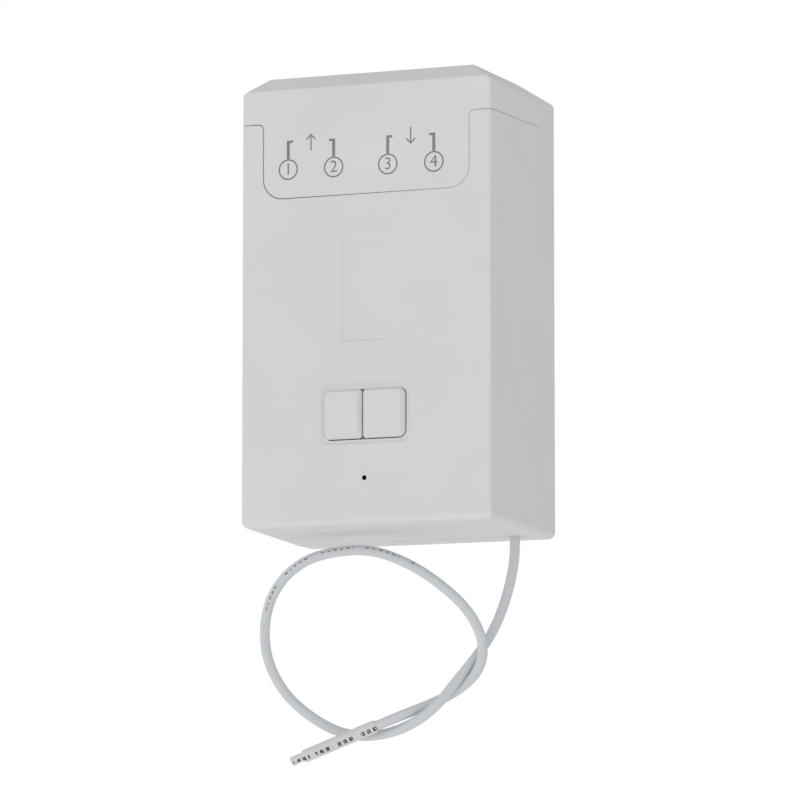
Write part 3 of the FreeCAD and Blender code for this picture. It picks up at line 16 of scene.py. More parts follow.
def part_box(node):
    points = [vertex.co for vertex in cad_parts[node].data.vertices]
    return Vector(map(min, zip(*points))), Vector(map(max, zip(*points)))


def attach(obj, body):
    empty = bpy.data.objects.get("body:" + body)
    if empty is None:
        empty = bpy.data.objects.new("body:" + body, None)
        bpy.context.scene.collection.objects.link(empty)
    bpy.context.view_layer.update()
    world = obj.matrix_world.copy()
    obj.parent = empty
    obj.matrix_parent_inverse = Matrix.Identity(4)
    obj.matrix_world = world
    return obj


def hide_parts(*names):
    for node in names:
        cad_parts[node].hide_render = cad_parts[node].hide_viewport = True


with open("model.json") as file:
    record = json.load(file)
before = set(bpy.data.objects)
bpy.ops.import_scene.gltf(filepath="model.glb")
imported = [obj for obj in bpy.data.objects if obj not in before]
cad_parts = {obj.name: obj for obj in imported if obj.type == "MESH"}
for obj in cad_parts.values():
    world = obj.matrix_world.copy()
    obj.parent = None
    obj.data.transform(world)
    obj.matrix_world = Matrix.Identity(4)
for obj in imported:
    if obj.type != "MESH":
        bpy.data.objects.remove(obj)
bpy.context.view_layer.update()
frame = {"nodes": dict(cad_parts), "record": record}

MM = 0.001


def select_only(piece):
    """Operators act on all that is selected, so everything else is let go first."""
    bpy.ops.object.select_all(action="DESELECT")
    piece.select_set(True)
    bpy.context.view_layer.objects.active = piece


# %% [markdown]
# ## Camera
# The photograph was taken from the right and from slightly below, through a long lens: the
# case's vertical edges stay almost parallel. The camera looks along a line given by an azimuth and
# an elevation, and is then shifted sideways and down until the whole object sits in the frame.

# %% Camera
FACE_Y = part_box("front_housing")[0].y
AZIMUTH = math.radians(22.329)
ELEVATION = math.radians(-7.302)
LENS, SENSOR_WIDTH = 256.5, 36.0
AWAY, TO_THE_RIGHT, DOWNWARDS = 1402.3, 8.561, 23.982
backwards = Vector((math.sin(AZIMUTH) * math.cos(ELEVATION),
                    -math.cos(AZIMUTH) * math.cos(ELEVATION),
                    math.sin(ELEVATION)))
rightwards = Vector((math.cos(AZIMUTH), math.sin(AZIMUTH), 0.0))
upwards = backwards.cross(rightwards)
bpy.ops.object.camera_add()
camera = bpy.context.object
camera.name = "photo_camera"
camera.data.lens = LENS
camera.data.sensor_width = SENSOR_WIDTH
camera.data.clip_end = 20.0
offset = AWAY * backwards + TO_THE_RIGHT * rightwards - DOWNWARDS * upwards
place = Vector((0, FACE_Y, 0)) + offset * MM
turn = Matrix((rightwards, upwards, backwards)).transposed()
camera.matrix_world = Matrix.Translation(place) @ turn.to_4x4()
bpy.context.scene.camera = camera
print("camera at", [round(v, 3) for v in place])

# %% [markdown]
# ## The aerial
# A cord comes first, because its length decides how much room the object takes. It is one smooth
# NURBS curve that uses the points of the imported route, some of them moved a little to follow the
# photograph: it leaves the underside, hangs in one loose loop and ends in a shrink sleeve. A bevel
# depth gives the curve its round section. Its material is made at once and gets its nodes later.

# %% The aerial's route
AERIAL_WIDTH = 2.5 * MM
AERIAL_ROUTE = [
    (26.7, -10.8, -55.75), (26.7, -10.8, -60.0), (26.2, -11.8, -65.8), (25.0, -13.4, -72.4),
    (22.8, -15.6, -79.6), (19.45, -18.3, -85.9), (15.1, -20.9, -92.0), (10.8, -23.6, -98.5),
    (3.2, -22.9, -103.2), (-6.6, -20.6, -105.3), (-16.1, -19.9, -104.4), (-24.6, -20.9, -99.7),
    (-31.0, -23.0, -93.4), (-34.0, -26.5, -84.8), (-33.95, -27.2, -75.0), (-30.3, -27.9, -67.2),
    (-22.9, -28.9, -61.6), (-13.9, -28.9, -59.5), (-4.1, -28.6, -59.5), (5.2, -27.7, -63.2),
    (13.1, -26.3, -68.5), (19.8, -24.5, -75.0), (22.9, -22.3, -82.5), (21.2, -20.1, -89.3),
    (14.7, -18.6, -94.4), (7.2, -20.3, -97.8), (0.9, -23.9, -100.65), (-4.7, -24.6, -102.85),
]
route = [Vector(point) * MM for point in AERIAL_ROUTE]

# %% The aerial's wire
wire_curve = bpy.data.curves.new("aerial_cord", "CURVE")
wire_curve.dimensions = "3D"
wire_curve.resolution_u = 10
wire_curve.bevel_depth = AERIAL_WIDTH / 2
wire_curve.bevel_resolution = 6
wire_curve.use_fill_caps = True
insulation = bpy.data.materials.new("wire_insulation")
wire_curve.materials.append(insulation)
spline = wire_curve.splines.new("NURBS")
spline.points.add(len(route) - 1)
for point, spot in zip(spline.points, route):
    point.co = (*spot, 1.0)
spline.order_u = 3
spline.use_endpoint_u = True
aerial_cord = bpy.data.objects.new("aerial_cord", wire_curve)
bpy.context.scene.collection.objects.link(aerial_cord)
print("aerial follows", len(route), "points")

# %% [markdown]
# ## The shrink sleeve and its pinched end
# The sleeve is a soft tube, shrunk on by heat: its mouth is drawn in round the wire, its wall is
# slightly uneven, and past the wire's end it is pinched flat. A cylinder is added and sliced into
# rings in edit mode, and each ring is then scaled to its own width and thickness.


# %% A tube with rings of its own size
def shaped_tube(name, radius, rings, sides=32):
    """A closed tube along +Z; each ring is (height, width share, thickness share), in millimetres."""
    bpy.ops.object.select_all(action="DESELECT")
    rings = [(height * MM, wide, thick) for height, wide, thick in rings]
    length = rings[-1][0]
    bpy.ops.mesh.primitive_cylinder_add(vertices=sides, radius=radius, depth=length,
                                        end_fill_type="NGON", location=(0, 0, length / 2))
    tube = bpy.context.object
    tube.name = name
    bpy.ops.object.transform_apply(location=True, rotation=True, scale=True)
    bpy.ops.object.mode_set(mode="EDIT")
    for height, _, _ in rings[1:-1]:
        bpy.ops.mesh.select_all(action="SELECT")
        bpy.ops.mesh.bisect(plane_co=(0, 0, height), plane_no=(0, 0, 1))
    bpy.ops.object.mode_set(mode="OBJECT")
    for vertex in tube.data.vertices:
        _, wide, thick = min(rings, key=lambda ring: abs(ring[0] - vertex.co.z))
        vertex.co.x *= wide
        vertex.co.y *= thick
    return tube


def lay_along(piece, start, direction):
    """Turn a piece that was made along +Z to a direction, and write its place into its mesh."""
    turn = direction.to_track_quat("Z", "Y").to_matrix().to_4x4()
    piece.data.transform(Matrix.Translation(start) @ turn)


# %% Shrink sleeve
along = (route[-1] - route[-2]).normalized()
SLEEVE_LENGTH = 20.2 * MM
SLEEVE_RADIUS = 1.62 * MM
MOUTH, RING_EVERY = 1.0, 1.1
sleeve_rings = [(0.0, 0.82, 0.82), (0.12, 0.90, 0.90), (0.4, 0.97, 0.97), (MOUTH, 1.0, 1.0)]
for step in range(1, 17):
    sway = 0.008 * math.sin(2.1 * step) + 0.006 * math.sin(4.7 * step + 1.0)
    sleeve_rings.append((MOUTH + step * RING_EVERY, 1.0 - abs(sway), 0.995 - abs(sway) / 2))
sleeve_rings += [(19.3, 1.0, 0.99), (19.85, 0.98, 0.97), (20.1, 0.92, 0.91), (20.2, 0.80, 0.79)]
shrink_sleeve = shaped_tube("shrink_sleeve", SLEEVE_RADIUS, sleeve_rings)
lay_along(shrink_sleeve, route[-1], along)
print("sleeve", len(shrink_sleeve.data.vertices), "points")

# %% Pinched end
pinch_rings = [(0.0, 0.70, 0.70), (0.25, 0.69, 0.68), (0.8, 0.70, 0.67), (1.5, 0.73, 0.68),
               (2.2, 0.77, 0.70), (2.8, 0.81, 0.72), (3.1, 0.81, 0.71), (3.25, 0.76, 0.66)]
pinched_end = shaped_tube("pinched_end", SLEEVE_RADIUS, pinch_rings)
lay_along(pinched_end, route[-1] + along * SLEEVE_LENGTH, along)
print("pinched end", len(pinched_end.data.vertices), "points")

# %% The aerial rides on the case
for piece, node, slot in ((aerial_cord, "aerial_wire", "wire_insulation"),
                          (shrink_sleeve, "aerial_sleeve", "shrink_sleeve"),
                          (pinched_end, "aerial_tip", "shrink_sleeve")):
    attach(piece, "case")
    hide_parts(node)

# %% [markdown]
# ## Moulded shells
# A real moulding has no knife-sharp edge: each one carries a small radius that catches the light.
# The CAD meshes are loose triangles, so a copy is merged, its flat areas are joined again, and only
# the edges that show from outside are bevelled. The copy then stands for the CAD node.


# %% A merged copy of a CAD node
def merged_copy(node, name):
    """A copy of a CAD node with its triangles sewn together and flat areas joined."""
    piece = bpy.data.objects.new(name, frame["nodes"][node].data.copy())
    bpy.context.scene.collection.objects.link(piece)
    select_only(piece)
    if piece.data.has_custom_normals:
        bpy.ops.mesh.customdata_custom_splitnormals_clear()
    bpy.ops.object.mode_set(mode="EDIT")
    bpy.ops.mesh.select_all(action="SELECT")
    bpy.ops.mesh.remove_doubles(threshold=2e-6)
    bpy.ops.mesh.dissolve_limited(angle_limit=math.radians(0.3))
    bpy.ops.object.mode_set(mode="OBJECT")
    return piece


def soften_edges(piece, width, shows, sharp=28.0, segments=2):
    """Bevel the sharp edges whose middle passes a test."""
    select_only(piece)
    bpy.ops.object.mode_set(mode="EDIT")
    bpy.ops.mesh.select_mode(type="EDGE")
    bpy.ops.mesh.select_all(action="DESELECT")
    mesh = bmesh.from_edit_mesh(piece.data)
    chosen = 0
    for edge in mesh.edges:
        if not edge.is_manifold or edge.calc_face_angle(0.0) < math.radians(sharp):
            continue
        if shows((edge.verts[0].co + edge.verts[1].co) / 2 / MM):
            edge.select_set(True)
            chosen += 1
    bmesh.update_edit_mesh(piece.data)
    if chosen:
        bpy.ops.mesh.bevel(offset=width, segments=segments, profile=0.5, clamp_overlap=True)
    bpy.ops.object.mode_set(mode="OBJECT")
    return chosen


def even_shading(piece, crisp=None, smooth_below=30.0):
    """Smooth shading led by the large flat faces; a test names faint edges that stay crisp."""
    select_only(piece)
    bpy.ops.object.shade_smooth_by_angle(angle=math.radians(smooth_below))
    if crisp:
        for edge in piece.data.edges:
            if all(crisp(piece.data.vertices[index].co / MM) for index in edge.vertices):
                edge.use_edge_sharp = True
    weights = piece.modifiers.new("flat_faces", "WEIGHTED_NORMAL")
    weights.mode = "FACE_AREA"
    weights.keep_sharp = True
    bpy.ops.object.modifier_apply(modifier=weights.name)


# %% [markdown]
# ## The seam round the tongue
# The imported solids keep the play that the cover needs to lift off. On the real one it closes to a
# hairline, widest at the upper left, because the cover sits a little to the right. So the lips of
# both mouldings are drawn in towards the middle of the seam, and their bevels are made finer.
# The seam is followed as a line of points, and each lip vertex looks for its nearest point on it.
# From here on, shapes are worked out in millimetres.

# %% The seam as a line of points
front = FACE_Y / MM
SEAM_LEVEL, SEAM_CLIMB = 46.25, 0.7 / 32.7
TONGUE_HALF, TONGUE_LOW = 27.5, 27.25
FOOT_ROUND, SHOULDER_ROUND = 5.2, 1.4
PAST_THE_SIDE = 40.0


def arc(centre, radius, start, end, count=12):
    """Points on an arc, angles in degrees."""
    turns = [math.radians(start + (end - start) * step / count) for step in range(count + 1)]
    return [Vector((centre[0] + radius * math.cos(turn), centre[1] + radius * math.sin(turn)))
            for turn in turns]


half_line = ([Vector((0.0, TONGUE_LOW))]
             + arc((TONGUE_HALF - FOOT_ROUND, TONGUE_LOW + FOOT_ROUND), FOOT_ROUND, -90, 0)
             + arc((TONGUE_HALF + SHOULDER_ROUND, SEAM_LEVEL - SHOULDER_ROUND), SHOULDER_ROUND, 180, 90)
             + [Vector((PAST_THE_SIDE, SEAM_LEVEL))])
seam_line = [Vector((-point.x, point.y)) for point in reversed(half_line)] + half_line[1:]
print("seam line", len(seam_line), "points")


# %% The nearest point of the seam
def nearest_on_seam(spot):
    """The point of the seam line that lies nearest to a spot on the face."""
    best = None
    for first, second in zip(seam_line, seam_line[1:]):
        run = second - first
        share = min(max((spot - first).dot(run) / run.length_squared, 0.0), 1.0)
        point = first + run * share
        if best is None or (spot - point).length < (spot - best).length:
            best = point
    return best


# %% Lips drawn in
PLAY, PACKED_LIP, FINE_LIP = 0.175, 0.4, 0.15
CHEEK_X, CHEEK_Y = 32.45, front + 0.8
CLIMBS_FROM_X = 29.0
SEAM_BAND, SEAM_END_Y = 1.0, front + 33.0
NEAREST, FARTHEST = 0.1, 0.62
WALL_X, WALL_Y = 31.0, front + 2.2
LIP_FRONT_Y, LIP_BACK_Y = front + 0.45, front + 0.85


def outward_at(x, y):
    """Direction out of the case on its front face, its rounded cheek or its side."""
    side = max(abs(x) - CHEEK_X, 0.0)
    depth = max(CHEEK_Y - y, 0.0) if abs(x) > CHEEK_X else 1.0
    return Vector((math.copysign(side, x), -depth)).normalized()


def half_gap(x):
    """Half the width that the seam keeps: even on the sides, growing to the left on the face."""
    return 0.05 if abs(x) > CHEEK_X else max(0.03, 0.06 - 0.0014 * x)


def draw_in_lips(piece):
    """Move the lips of a moulding towards the seam line; returns how many vertices moved."""
    moved = 0
    for vertex in piece.data.vertices:
        x, y, z = vertex.co / MM
        lifted = SEAM_CLIMB * (y - front) if abs(x) > CLIMBS_FROM_X else 0.0
        spot = Vector((x, z - lifted))
        if y > SEAM_END_Y or not TONGUE_LOW - SEAM_BAND <= spot.y <= SEAM_LEVEL + SEAM_BAND:
            continue
        point = nearest_on_seam(spot)
        away = spot - point
        if not NEAREST < away.length < FARTHEST or (y > WALL_Y and abs(x) < WALL_X):
            continue
        rank = min(max((away.length - PLAY) / PACKED_LIP, 0.0), 1.0)
        if rank > 0.02 and y > LIP_BACK_Y:
            continue
        away = away.normalized() * (half_gap(x) + FINE_LIP * rank)
        x, z = point.x + away.x, point.y + away.y + lifted
        on_cheek = abs(x) > CHEEK_X - 0.1
        if y < LIP_FRONT_Y or (y < LIP_BACK_Y and on_cheek):
            outward = outward_at(x, y) * (PACKED_LIP - FINE_LIP) * (1.0 - rank)
            x, y = x + outward.x, y + outward.y
        vertex.co = Vector((x, y, z)) * MM
        moved += 1
    return moved


# %% [markdown]
# ## The shallow forms of the face
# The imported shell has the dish, the key opening, the recess and the pinhole with the depths and the
# play that its moving parts need. The real ones look softer: the dish and the recess are shallower
# moulded forms, the opening closes up to the caps at the left and the top, and the pinhole widens
# behind the face, so that one looks into the dark through it. Their vertices are moved to match.
# The split between the caps lies a little to the left and is narrower, with a wider bevel before it.

# %% Dish, opening, recess and pinhole
KEYS_AT, OPENING_HALF, OPENING_ROUND = Vector((-0.45, -27.45)), Vector((11.25, 6.5)), 2.1
CLOSED_UP, DRAWN_RIGHT, DRAWN_FOOT = 0.385, 0.04, 0.10
DISH_LEFT, DISH_SLOPE, DISH_REACH, PACKED_DISH = -12.15, 0.95, 1.9, 0.8
DISH_FOOT, FOOT_SHARE = -33.0, 0.8
RECESS_X, RECESS_LOW, RECESS_HIGH, RECESS_SHARE = 7.0, -11.0, 18.0, 0.78
PINHOLE, PINHOLE_REACH, PINHOLE_FLARE = Vector((-0.2, -43.35)), 0.7, 3.2
WALL_DEEP = 2.2


def from_opening(spot):
    """Distance from the opening's rounded outline, and the direction away from its middle."""
    corner = OPENING_HALF - Vector((OPENING_ROUND, OPENING_ROUND))
    off = spot - KEYS_AT
    inner = Vector([min(max(value, -limit), limit) for value, limit in zip(off, corner)])
    away = off - inner
    if away.length < 1e-4:
        return -OPENING_ROUND, Vector((1.0, 0.0))
    return away.length - OPENING_ROUND, away.normalized()


def dish_depth(z):
    """Depth of the dish at a height: 0.5 mm at its foot, 0.6 mm at its top."""
    return 0.5 + 0.1 * min(1.0, max(0.0, (z + 34.0) / 13.0))


def meets_caps(spot):
    """Whether an edge lies where the opening closes up to the caps, at the left or the top."""
    distance, away = from_opening(Vector((spot.x, spot.z)))
    return abs(distance + CLOSED_UP) < 0.1 and (away.x < -0.7 or away.y > 0.7)


def in_recess(x, z):
    """Whether a spot of the face lies in the plain recess or on its sloped sides."""
    return abs(x) < RECESS_X and RECESS_LOW < z < RECESS_HIGH


def soften_face_forms(piece):
    """Flatten the dish and the recess, draw the key opening in and flare the pinhole."""
    counts = {"opening": 0, "dish": 0, "recess": 0, "pinhole": 0}
    for vertex in piece.data.vertices:
        x, y, z = vertex.co / MM
        depth, spot = y - front, Vector((x, z))
        if depth > WALL_DEEP:
            continue
        distance, away = from_opening(spot)
        if depth > 0.3 and abs(distance) < 0.06:
            sideways = CLOSED_UP if away.x < 0.0 else DRAWN_RIGHT
            upright = CLOSED_UP if away.y > 0.0 or away.x < -0.2 else DRAWN_FOOT
            spot = spot - away * (sideways * away.x ** 2 + upright * away.y ** 2)
            if depth < 1.0:
                depth = dish_depth(spot.y) * min(1.0, (spot.x - DISH_LEFT) / DISH_SLOPE)
            counts["opening"] += 1
        elif depth < 1.0 and 0.0 < distance < DISH_REACH:
            depth *= dish_depth(spot.y) / PACKED_DISH
            if spot.y < DISH_FOOT:
                spot.y = DISH_FOOT + (spot.y - DISH_FOOT) * FOOT_SHARE
            counts["dish"] += 1
        elif 0.02 < depth < 0.5 and in_recess(x, z):
            depth *= RECESS_SHARE
            counts["recess"] += 1
        elif depth > 1.5 and (spot - PINHOLE).length < PINHOLE_REACH:
            spot = PINHOLE + (spot - PINHOLE) * PINHOLE_FLARE
            counts["pinhole"] += 1
        vertex.co = Vector((spot.x, front + depth, spot.y)) * MM
    return counts


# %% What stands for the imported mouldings
def stands_for(piece, node, body):
    """Let a piece take the place of a CAD node on its body."""
    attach(piece, body)
    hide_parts(node)


SHELL_RADIUS, BASE_RADIUS = 0.1 * MM, 0.12 * MM
FACE_BAND, OUTER_X, OUTER_LOW, OUTER_HIGH = 1.3, 32.4, -54.4, 54.0


def on_face_or_side(spot):
    """Whether a spot lies on the front or on one of the sides."""
    return spot.y < front + FACE_BAND or abs(spot.x) > OUTER_X


# %% Front shell
front_shell = merged_copy("front_housing", "front_shell")
print("shell lips", draw_in_lips(front_shell), "face forms", soften_face_forms(front_shell))
count = soften_edges(front_shell, SHELL_RADIUS, lambda spot: (
    not meets_caps(spot) and (on_face_or_side(spot) or spot.z < OUTER_LOW)))
even_shading(front_shell, crisp=lambda spot: in_recess(spot.x, spot.z) and spot.y < front + 0.3)
stands_for(front_shell, "front_housing", "case")
print("front shell: softened", count, "edges,", len(front_shell.data.polygons), "faces")

# %% Terminal cover
lift_cover = merged_copy("terminal_cover", "lift_cover")
print("cover lips", draw_in_lips(lift_cover))
count = soften_edges(lift_cover, SHELL_RADIUS, lambda spot: (
    on_face_or_side(spot) or spot.z > OUTER_HIGH))
even_shading(lift_cover)
stands_for(lift_cover, "terminal_cover", "terminal_cover")
print("terminal cover: softened", count, "edges")

# %% Rear base
RIM_Y, RIM_TOP, RIM_X, RIM_LOW = -10.75, 46.0, 33.0, -55.0
RIM_OUT = 0.1
BACK_Y = -0.05
wall_base = merged_copy("rear_base", "wall_base")
for vertex in wall_base.data.vertices:
    x, y, z = vertex.co / MM
    if y < RIM_Y and z < RIM_TOP:
        vertex.co.x += math.copysign(RIM_OUT, x) * MM if abs(x) > RIM_X else 0.0
        vertex.co.z -= RIM_OUT * MM if z < RIM_LOW else 0.0
count = soften_edges(wall_base, BASE_RADIUS, lambda spot: (
    abs(spot.x) > OUTER_X or not OUTER_LOW <= spot.z <= OUTER_HIGH or spot.y > BACK_Y))
even_shading(wall_base)
stands_for(wall_base, "rear_base", "case")
print("rear base: softened", count, "edges")

# %% Push buttons
CAP_PROUD, BEVEL_DEEP = 0.35, 0.8
SPLIT_SIDES = {"left": {"low": -2.2, "high": 9.0, "shift": 0.33, "widen": 0.5},
               "right": {"low": -9.0, "high": 1.5, "shift": 0.53, "widen": 0.0}}
for hand, split in SPLIT_SIDES.items():
    cap = merged_copy(f"{hand}_button", f"{hand}_key_cap")
    for vertex in cap.data.vertices:
        if split["low"] < vertex.co.x / MM < split["high"]:
            vertex.co.x -= split["shift"] * MM
            level = (vertex.co.y / MM - front + CAP_PROUD) / BEVEL_DEEP
            vertex.co.x -= split["widen"] * MM * max(0.0, 1.0 - level)
    even_shading(cap)
    stands_for(cap, f"{hand}_button", f"{hand}_button")
    print(cap.name, len(cap.data.polygons), "faces")

# %% [markdown]
# ## Printed marks
# The cover carries four ringed marks with a lead each, in thin grey pad print. The rings hold plain
# numbers here, and one arrow between each pair tells which way the current goes. Every mark is
# drawn flat, given the thickness of ink and laid on the face.

# %% Ink on the cover
INK = 0.02 * MM
DIGIT_SHARE, THINNED = 0.7, 0.02
ink_pieces = []


def lay_ink(piece, across, level):
    """Stand a flat drawing upright on the front face and keep it for joining."""
    select_only(piece)
    if piece.type != "MESH":
        bpy.ops.object.convert(target="MESH")
        piece = bpy.context.object
    upright = Matrix.Rotation(math.radians(90), 4, "X")
    piece.data.transform(Matrix.Translation((across * MM, FACE_Y, level * MM)) @ upright)
    ink_pieces.append(piece)


def ring_mark(across, level, radius, stroke):
    """A flat ring: a disc, inset, with its middle removed."""
    bpy.ops.object.select_all(action="DESELECT")
    bpy.ops.mesh.primitive_circle_add(vertices=64, radius=radius * MM, fill_type="NGON")
    ring = bpy.context.object
    bpy.ops.object.mode_set(mode="EDIT")
    bpy.ops.mesh.select_all(action="SELECT")
    bpy.ops.mesh.inset(thickness=stroke * MM)
    bpy.ops.mesh.delete(type="FACE")
    bpy.ops.object.mode_set(mode="OBJECT")
    lay_ink(ring, across, level)


def outline_mark(corners, across, level):
    """A flat shape filled between its corners, which are given round it in millimetres."""
    bpy.ops.object.select_all(action="DESELECT")
    bpy.ops.mesh.primitive_circle_add(vertices=len(corners), radius=MM, fill_type="NGON")
    shape = bpy.context.object
    for vertex, (x, y) in zip(shape.data.vertices, corners):
        vertex.co = (x * MM, y * MM, 0.0)
    select_only(shape)
    bpy.ops.object.mode_set(mode="EDIT")
    bpy.ops.mesh.select_all(action="SELECT")
    bpy.ops.mesh.normals_make_consistent(inside=False)
    bpy.ops.object.mode_set(mode="OBJECT")
    lay_ink(shape, across, level)


def number_mark(text, across, level, height):
    """A plain number, centred on a point."""
    bpy.ops.object.select_all(action="DESELECT")
    bpy.ops.object.text_add()
    number = bpy.context.object
    number.data.body = text
    number.data.size = height / DIGIT_SHARE * MM
    number.data.align_x = "CENTER"
    number.data.align_y = "CENTER"
    number.data.offset = -THINNED * MM
    lay_ink(number, across, level)


# %% Rings, numbers and leads
RINGS = [(-20.72, 34.46, 41.70, 1), (-8.49, 34.33, 41.48, -1),
         (5.99, 34.15, 41.31, 1), (18.24, 34.00, 41.18, -1)]
RING_RADIUS, RING_STROKE, DIGIT_HIGH = 2.62, 0.38, 3.0
LEAD_HALF, LEAD_FOOT, HOOK_REACH, HOOK_HIGH = 0.4, 2.66, 1.25, 0.6
for index, (across, level, top, way) in enumerate(RINGS, start=1):
    ring_mark(across, level, RING_RADIUS, RING_STROKE)
    number_mark(str(index), across, level, DIGIT_HIGH)
    rise = top - level
    lead = [(-LEAD_HALF, LEAD_FOOT), (LEAD_HALF, LEAD_FOOT), (LEAD_HALF, rise - HOOK_HIGH),
            (HOOK_REACH, rise - HOOK_HIGH), (HOOK_REACH, rise), (-LEAD_HALF, rise)]
    outline_mark([(way * x, y) for x, y in lead][::way], across, level)
print("rings and leads", len(RINGS))


# %% Arrows between the leads
ARROW = [(0.17, 0.0), (0.17, 3.55), (1.05, 2.67), (1.29, 2.91), (0.0, 4.2), (-1.29, 2.91),
         (-1.05, 2.67), (-0.17, 3.55), (-0.17, 0.0)]
UP_ARROW_AT, DOWN_ARROW_AT = (-14.6, 38.9), (12.1, 43.0)
outline_mark(ARROW, *UP_ARROW_AT)
outline_mark([(x, -y) for x, y in ARROW][::-1], *DOWN_ARROW_AT)
print("arrows at", UP_ARROW_AT, DOWN_ARROW_AT)

# %% One piece of ink
bpy.ops.object.select_all(action="DESELECT")
for piece in ink_pieces:
    piece.select_set(True)
bpy.context.view_layer.objects.active = ink_pieces[0]
bpy.ops.object.join()
terminal_marks = bpy.context.object
terminal_marks.name = "terminal_marks"
solid = terminal_marks.modifiers.new("ink", "SOLIDIFY")
solid.thickness = INK
solid.offset = 1.0
bpy.ops.object.modifier_apply(modifier="ink")
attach(terminal_marks, "terminal_cover")
low = min(vertex.co.y for vertex in terminal_marks.data.vertices)
print("ink stands out by", round((FACE_Y - low) / MM, 3), "mm")

# %% [markdown]
# ## Surface effects that several materials share
# Moulded plastic is never quite even: spark-eroded tool steel leaves a fine grain, and the tone
# drifts a little over the surface. That effect is one node group with its own inputs, placed in
# each plastic with other values.


# %% Node group: moulded surface
def new_group(name, inputs, outputs):
    """An empty shader node group with named sockets."""
    group = bpy.data.node_groups.new(name, "ShaderNodeTree")
    for label, kind, value in inputs:
        socket = group.interface.new_socket(name=label, in_out="INPUT", socket_type=kind)
        socket.default_value = value
    for label, kind in outputs:
        group.interface.new_socket(name=label, in_out="OUTPUT", socket_type=kind)
    start = group.nodes.new("NodeGroupInput")
    end = group.nodes.new("NodeGroupOutput")
    return group, start, end


def noise_in(group, vector, scale, detail=2.0):
    """A noise texture on given coordinates."""
    noise = group.nodes.new("ShaderNodeTexNoise")
    noise.inputs["Detail"].default_value = detail
    group.links.new(vector, noise.inputs["Vector"])
    if isinstance(scale, (int, float)):
        noise.inputs["Scale"].default_value = scale
    else:
        group.links.new(scale, noise.inputs["Scale"])
    return noise.outputs["Fac"]


def span_of(group, value, low, high):
    """Stretch a 0 to 1 value to a span whose ends may be numbers or sockets."""
    span = group.nodes.new("ShaderNodeMapRange")
    span.inputs["From Min"].default_value = 0.3
    span.inputs["From Max"].default_value = 0.7
    group.links.new(value, span.inputs["Value"])
    for label, end in (("To Min", low), ("To Max", high)):
        if isinstance(end, (int, float)):
            span.inputs[label].default_value = end
        else:
            group.links.new(end, span.inputs[label])
    return span.outputs["Result"]


moulded, start, end = new_group(
    "moulded_surface",
    [("Dark Tone", "NodeSocketColor", (0.6, 0.6, 0.6, 1)),
     ("Light Tone", "NodeSocketColor", (0.66, 0.66, 0.66, 1)),
     ("Grain Scale", "NodeSocketFloat", 3000.0),
     ("Low Gloss", "NodeSocketFloat", 0.5),
     ("High Gloss", "NodeSocketFloat", 0.42)],
    [("Color", "NodeSocketColor"), ("Roughness", "NodeSocketFloat"), ("Height", "NodeSocketFloat")])
spots = moulded.nodes.new("ShaderNodeTexCoord").outputs["Object"]
drift = noise_in(moulded, spots, 45.0, 3.0)
grain = noise_in(moulded, spots, start.outputs["Grain Scale"], 2.0)
tone = moulded.nodes.new("ShaderNodeMix")
tone.data_type = "RGBA"
moulded.links.new(span_of(moulded, drift, 0.0, 1.0), tone.inputs["Factor"])
moulded.links.new(start.outputs["Dark Tone"], tone.inputs["A"])
moulded.links.new(start.outputs["Light Tone"], tone.inputs["B"])
moulded.links.new(tone.outputs["Result"], end.inputs["Color"])
gloss = span_of(moulded, grain, start.outputs["Low Gloss"], start.outputs["High Gloss"])
moulded.links.new(gloss, end.inputs["Roughness"])
moulded.links.new(grain, end.inputs["Height"])
print("group", moulded.name)


# %% Materials from shared groups
GRAIN_HIGH = 0.05 * MM


def new_material(name):
    """A material with only its Principled shader, which stays in the material itself."""
    material = bpy.data.materials.new(name)
    material.use_nodes = True
    return material, material.node_tree, material.node_tree.nodes["Principled BSDF"]


def place_group(tree, group, values):
    """Put a shared group in a material with its own values."""
    node = tree.nodes.new("ShaderNodeGroup")
    node.node_tree = group
    for label, value in values.items():
        node.inputs[label].default_value = value
    return node


def add_bump(tree, height, shader, strength, distance):
    """Feed a height into the shader's normal."""
    bump = tree.nodes.new("ShaderNodeBump")
    bump.inputs["Strength"].default_value = strength
    bump.inputs["Distance"].default_value = distance
    tree.links.new(height, bump.inputs["Height"])
    tree.links.new(bump.outputs["Normal"], shader.inputs["Normal"])


def grey(value):
    """A neutral grey, as linear light."""
    return (value, value, value, 1.0)


# %% Moulded plastics
def plastic(name, dark, light, scale=3000.0, rough=0.5, smooth=0.42, bump=0.06, sheen=0.5):
    """Moulded plastic: a drifting tone, a fine grain and a gloss that follows the grain."""
    material, tree, shader = new_material(name)
    surface = place_group(tree, moulded, {"Dark Tone": dark, "Light Tone": light,
                                          "Grain Scale": scale, "Low Gloss": rough,
                                          "High Gloss": smooth})
    tree.links.new(surface.outputs["Color"], shader.inputs["Base Color"])
    tree.links.new(surface.outputs["Roughness"], shader.inputs["Roughness"])
    add_bump(tree, surface.outputs["Height"], shader, bump, GRAIN_HIGH)
    shader.inputs["IOR"].default_value = 1.5
    shader.inputs["Specular IOR Level"].default_value = sheen
    return material


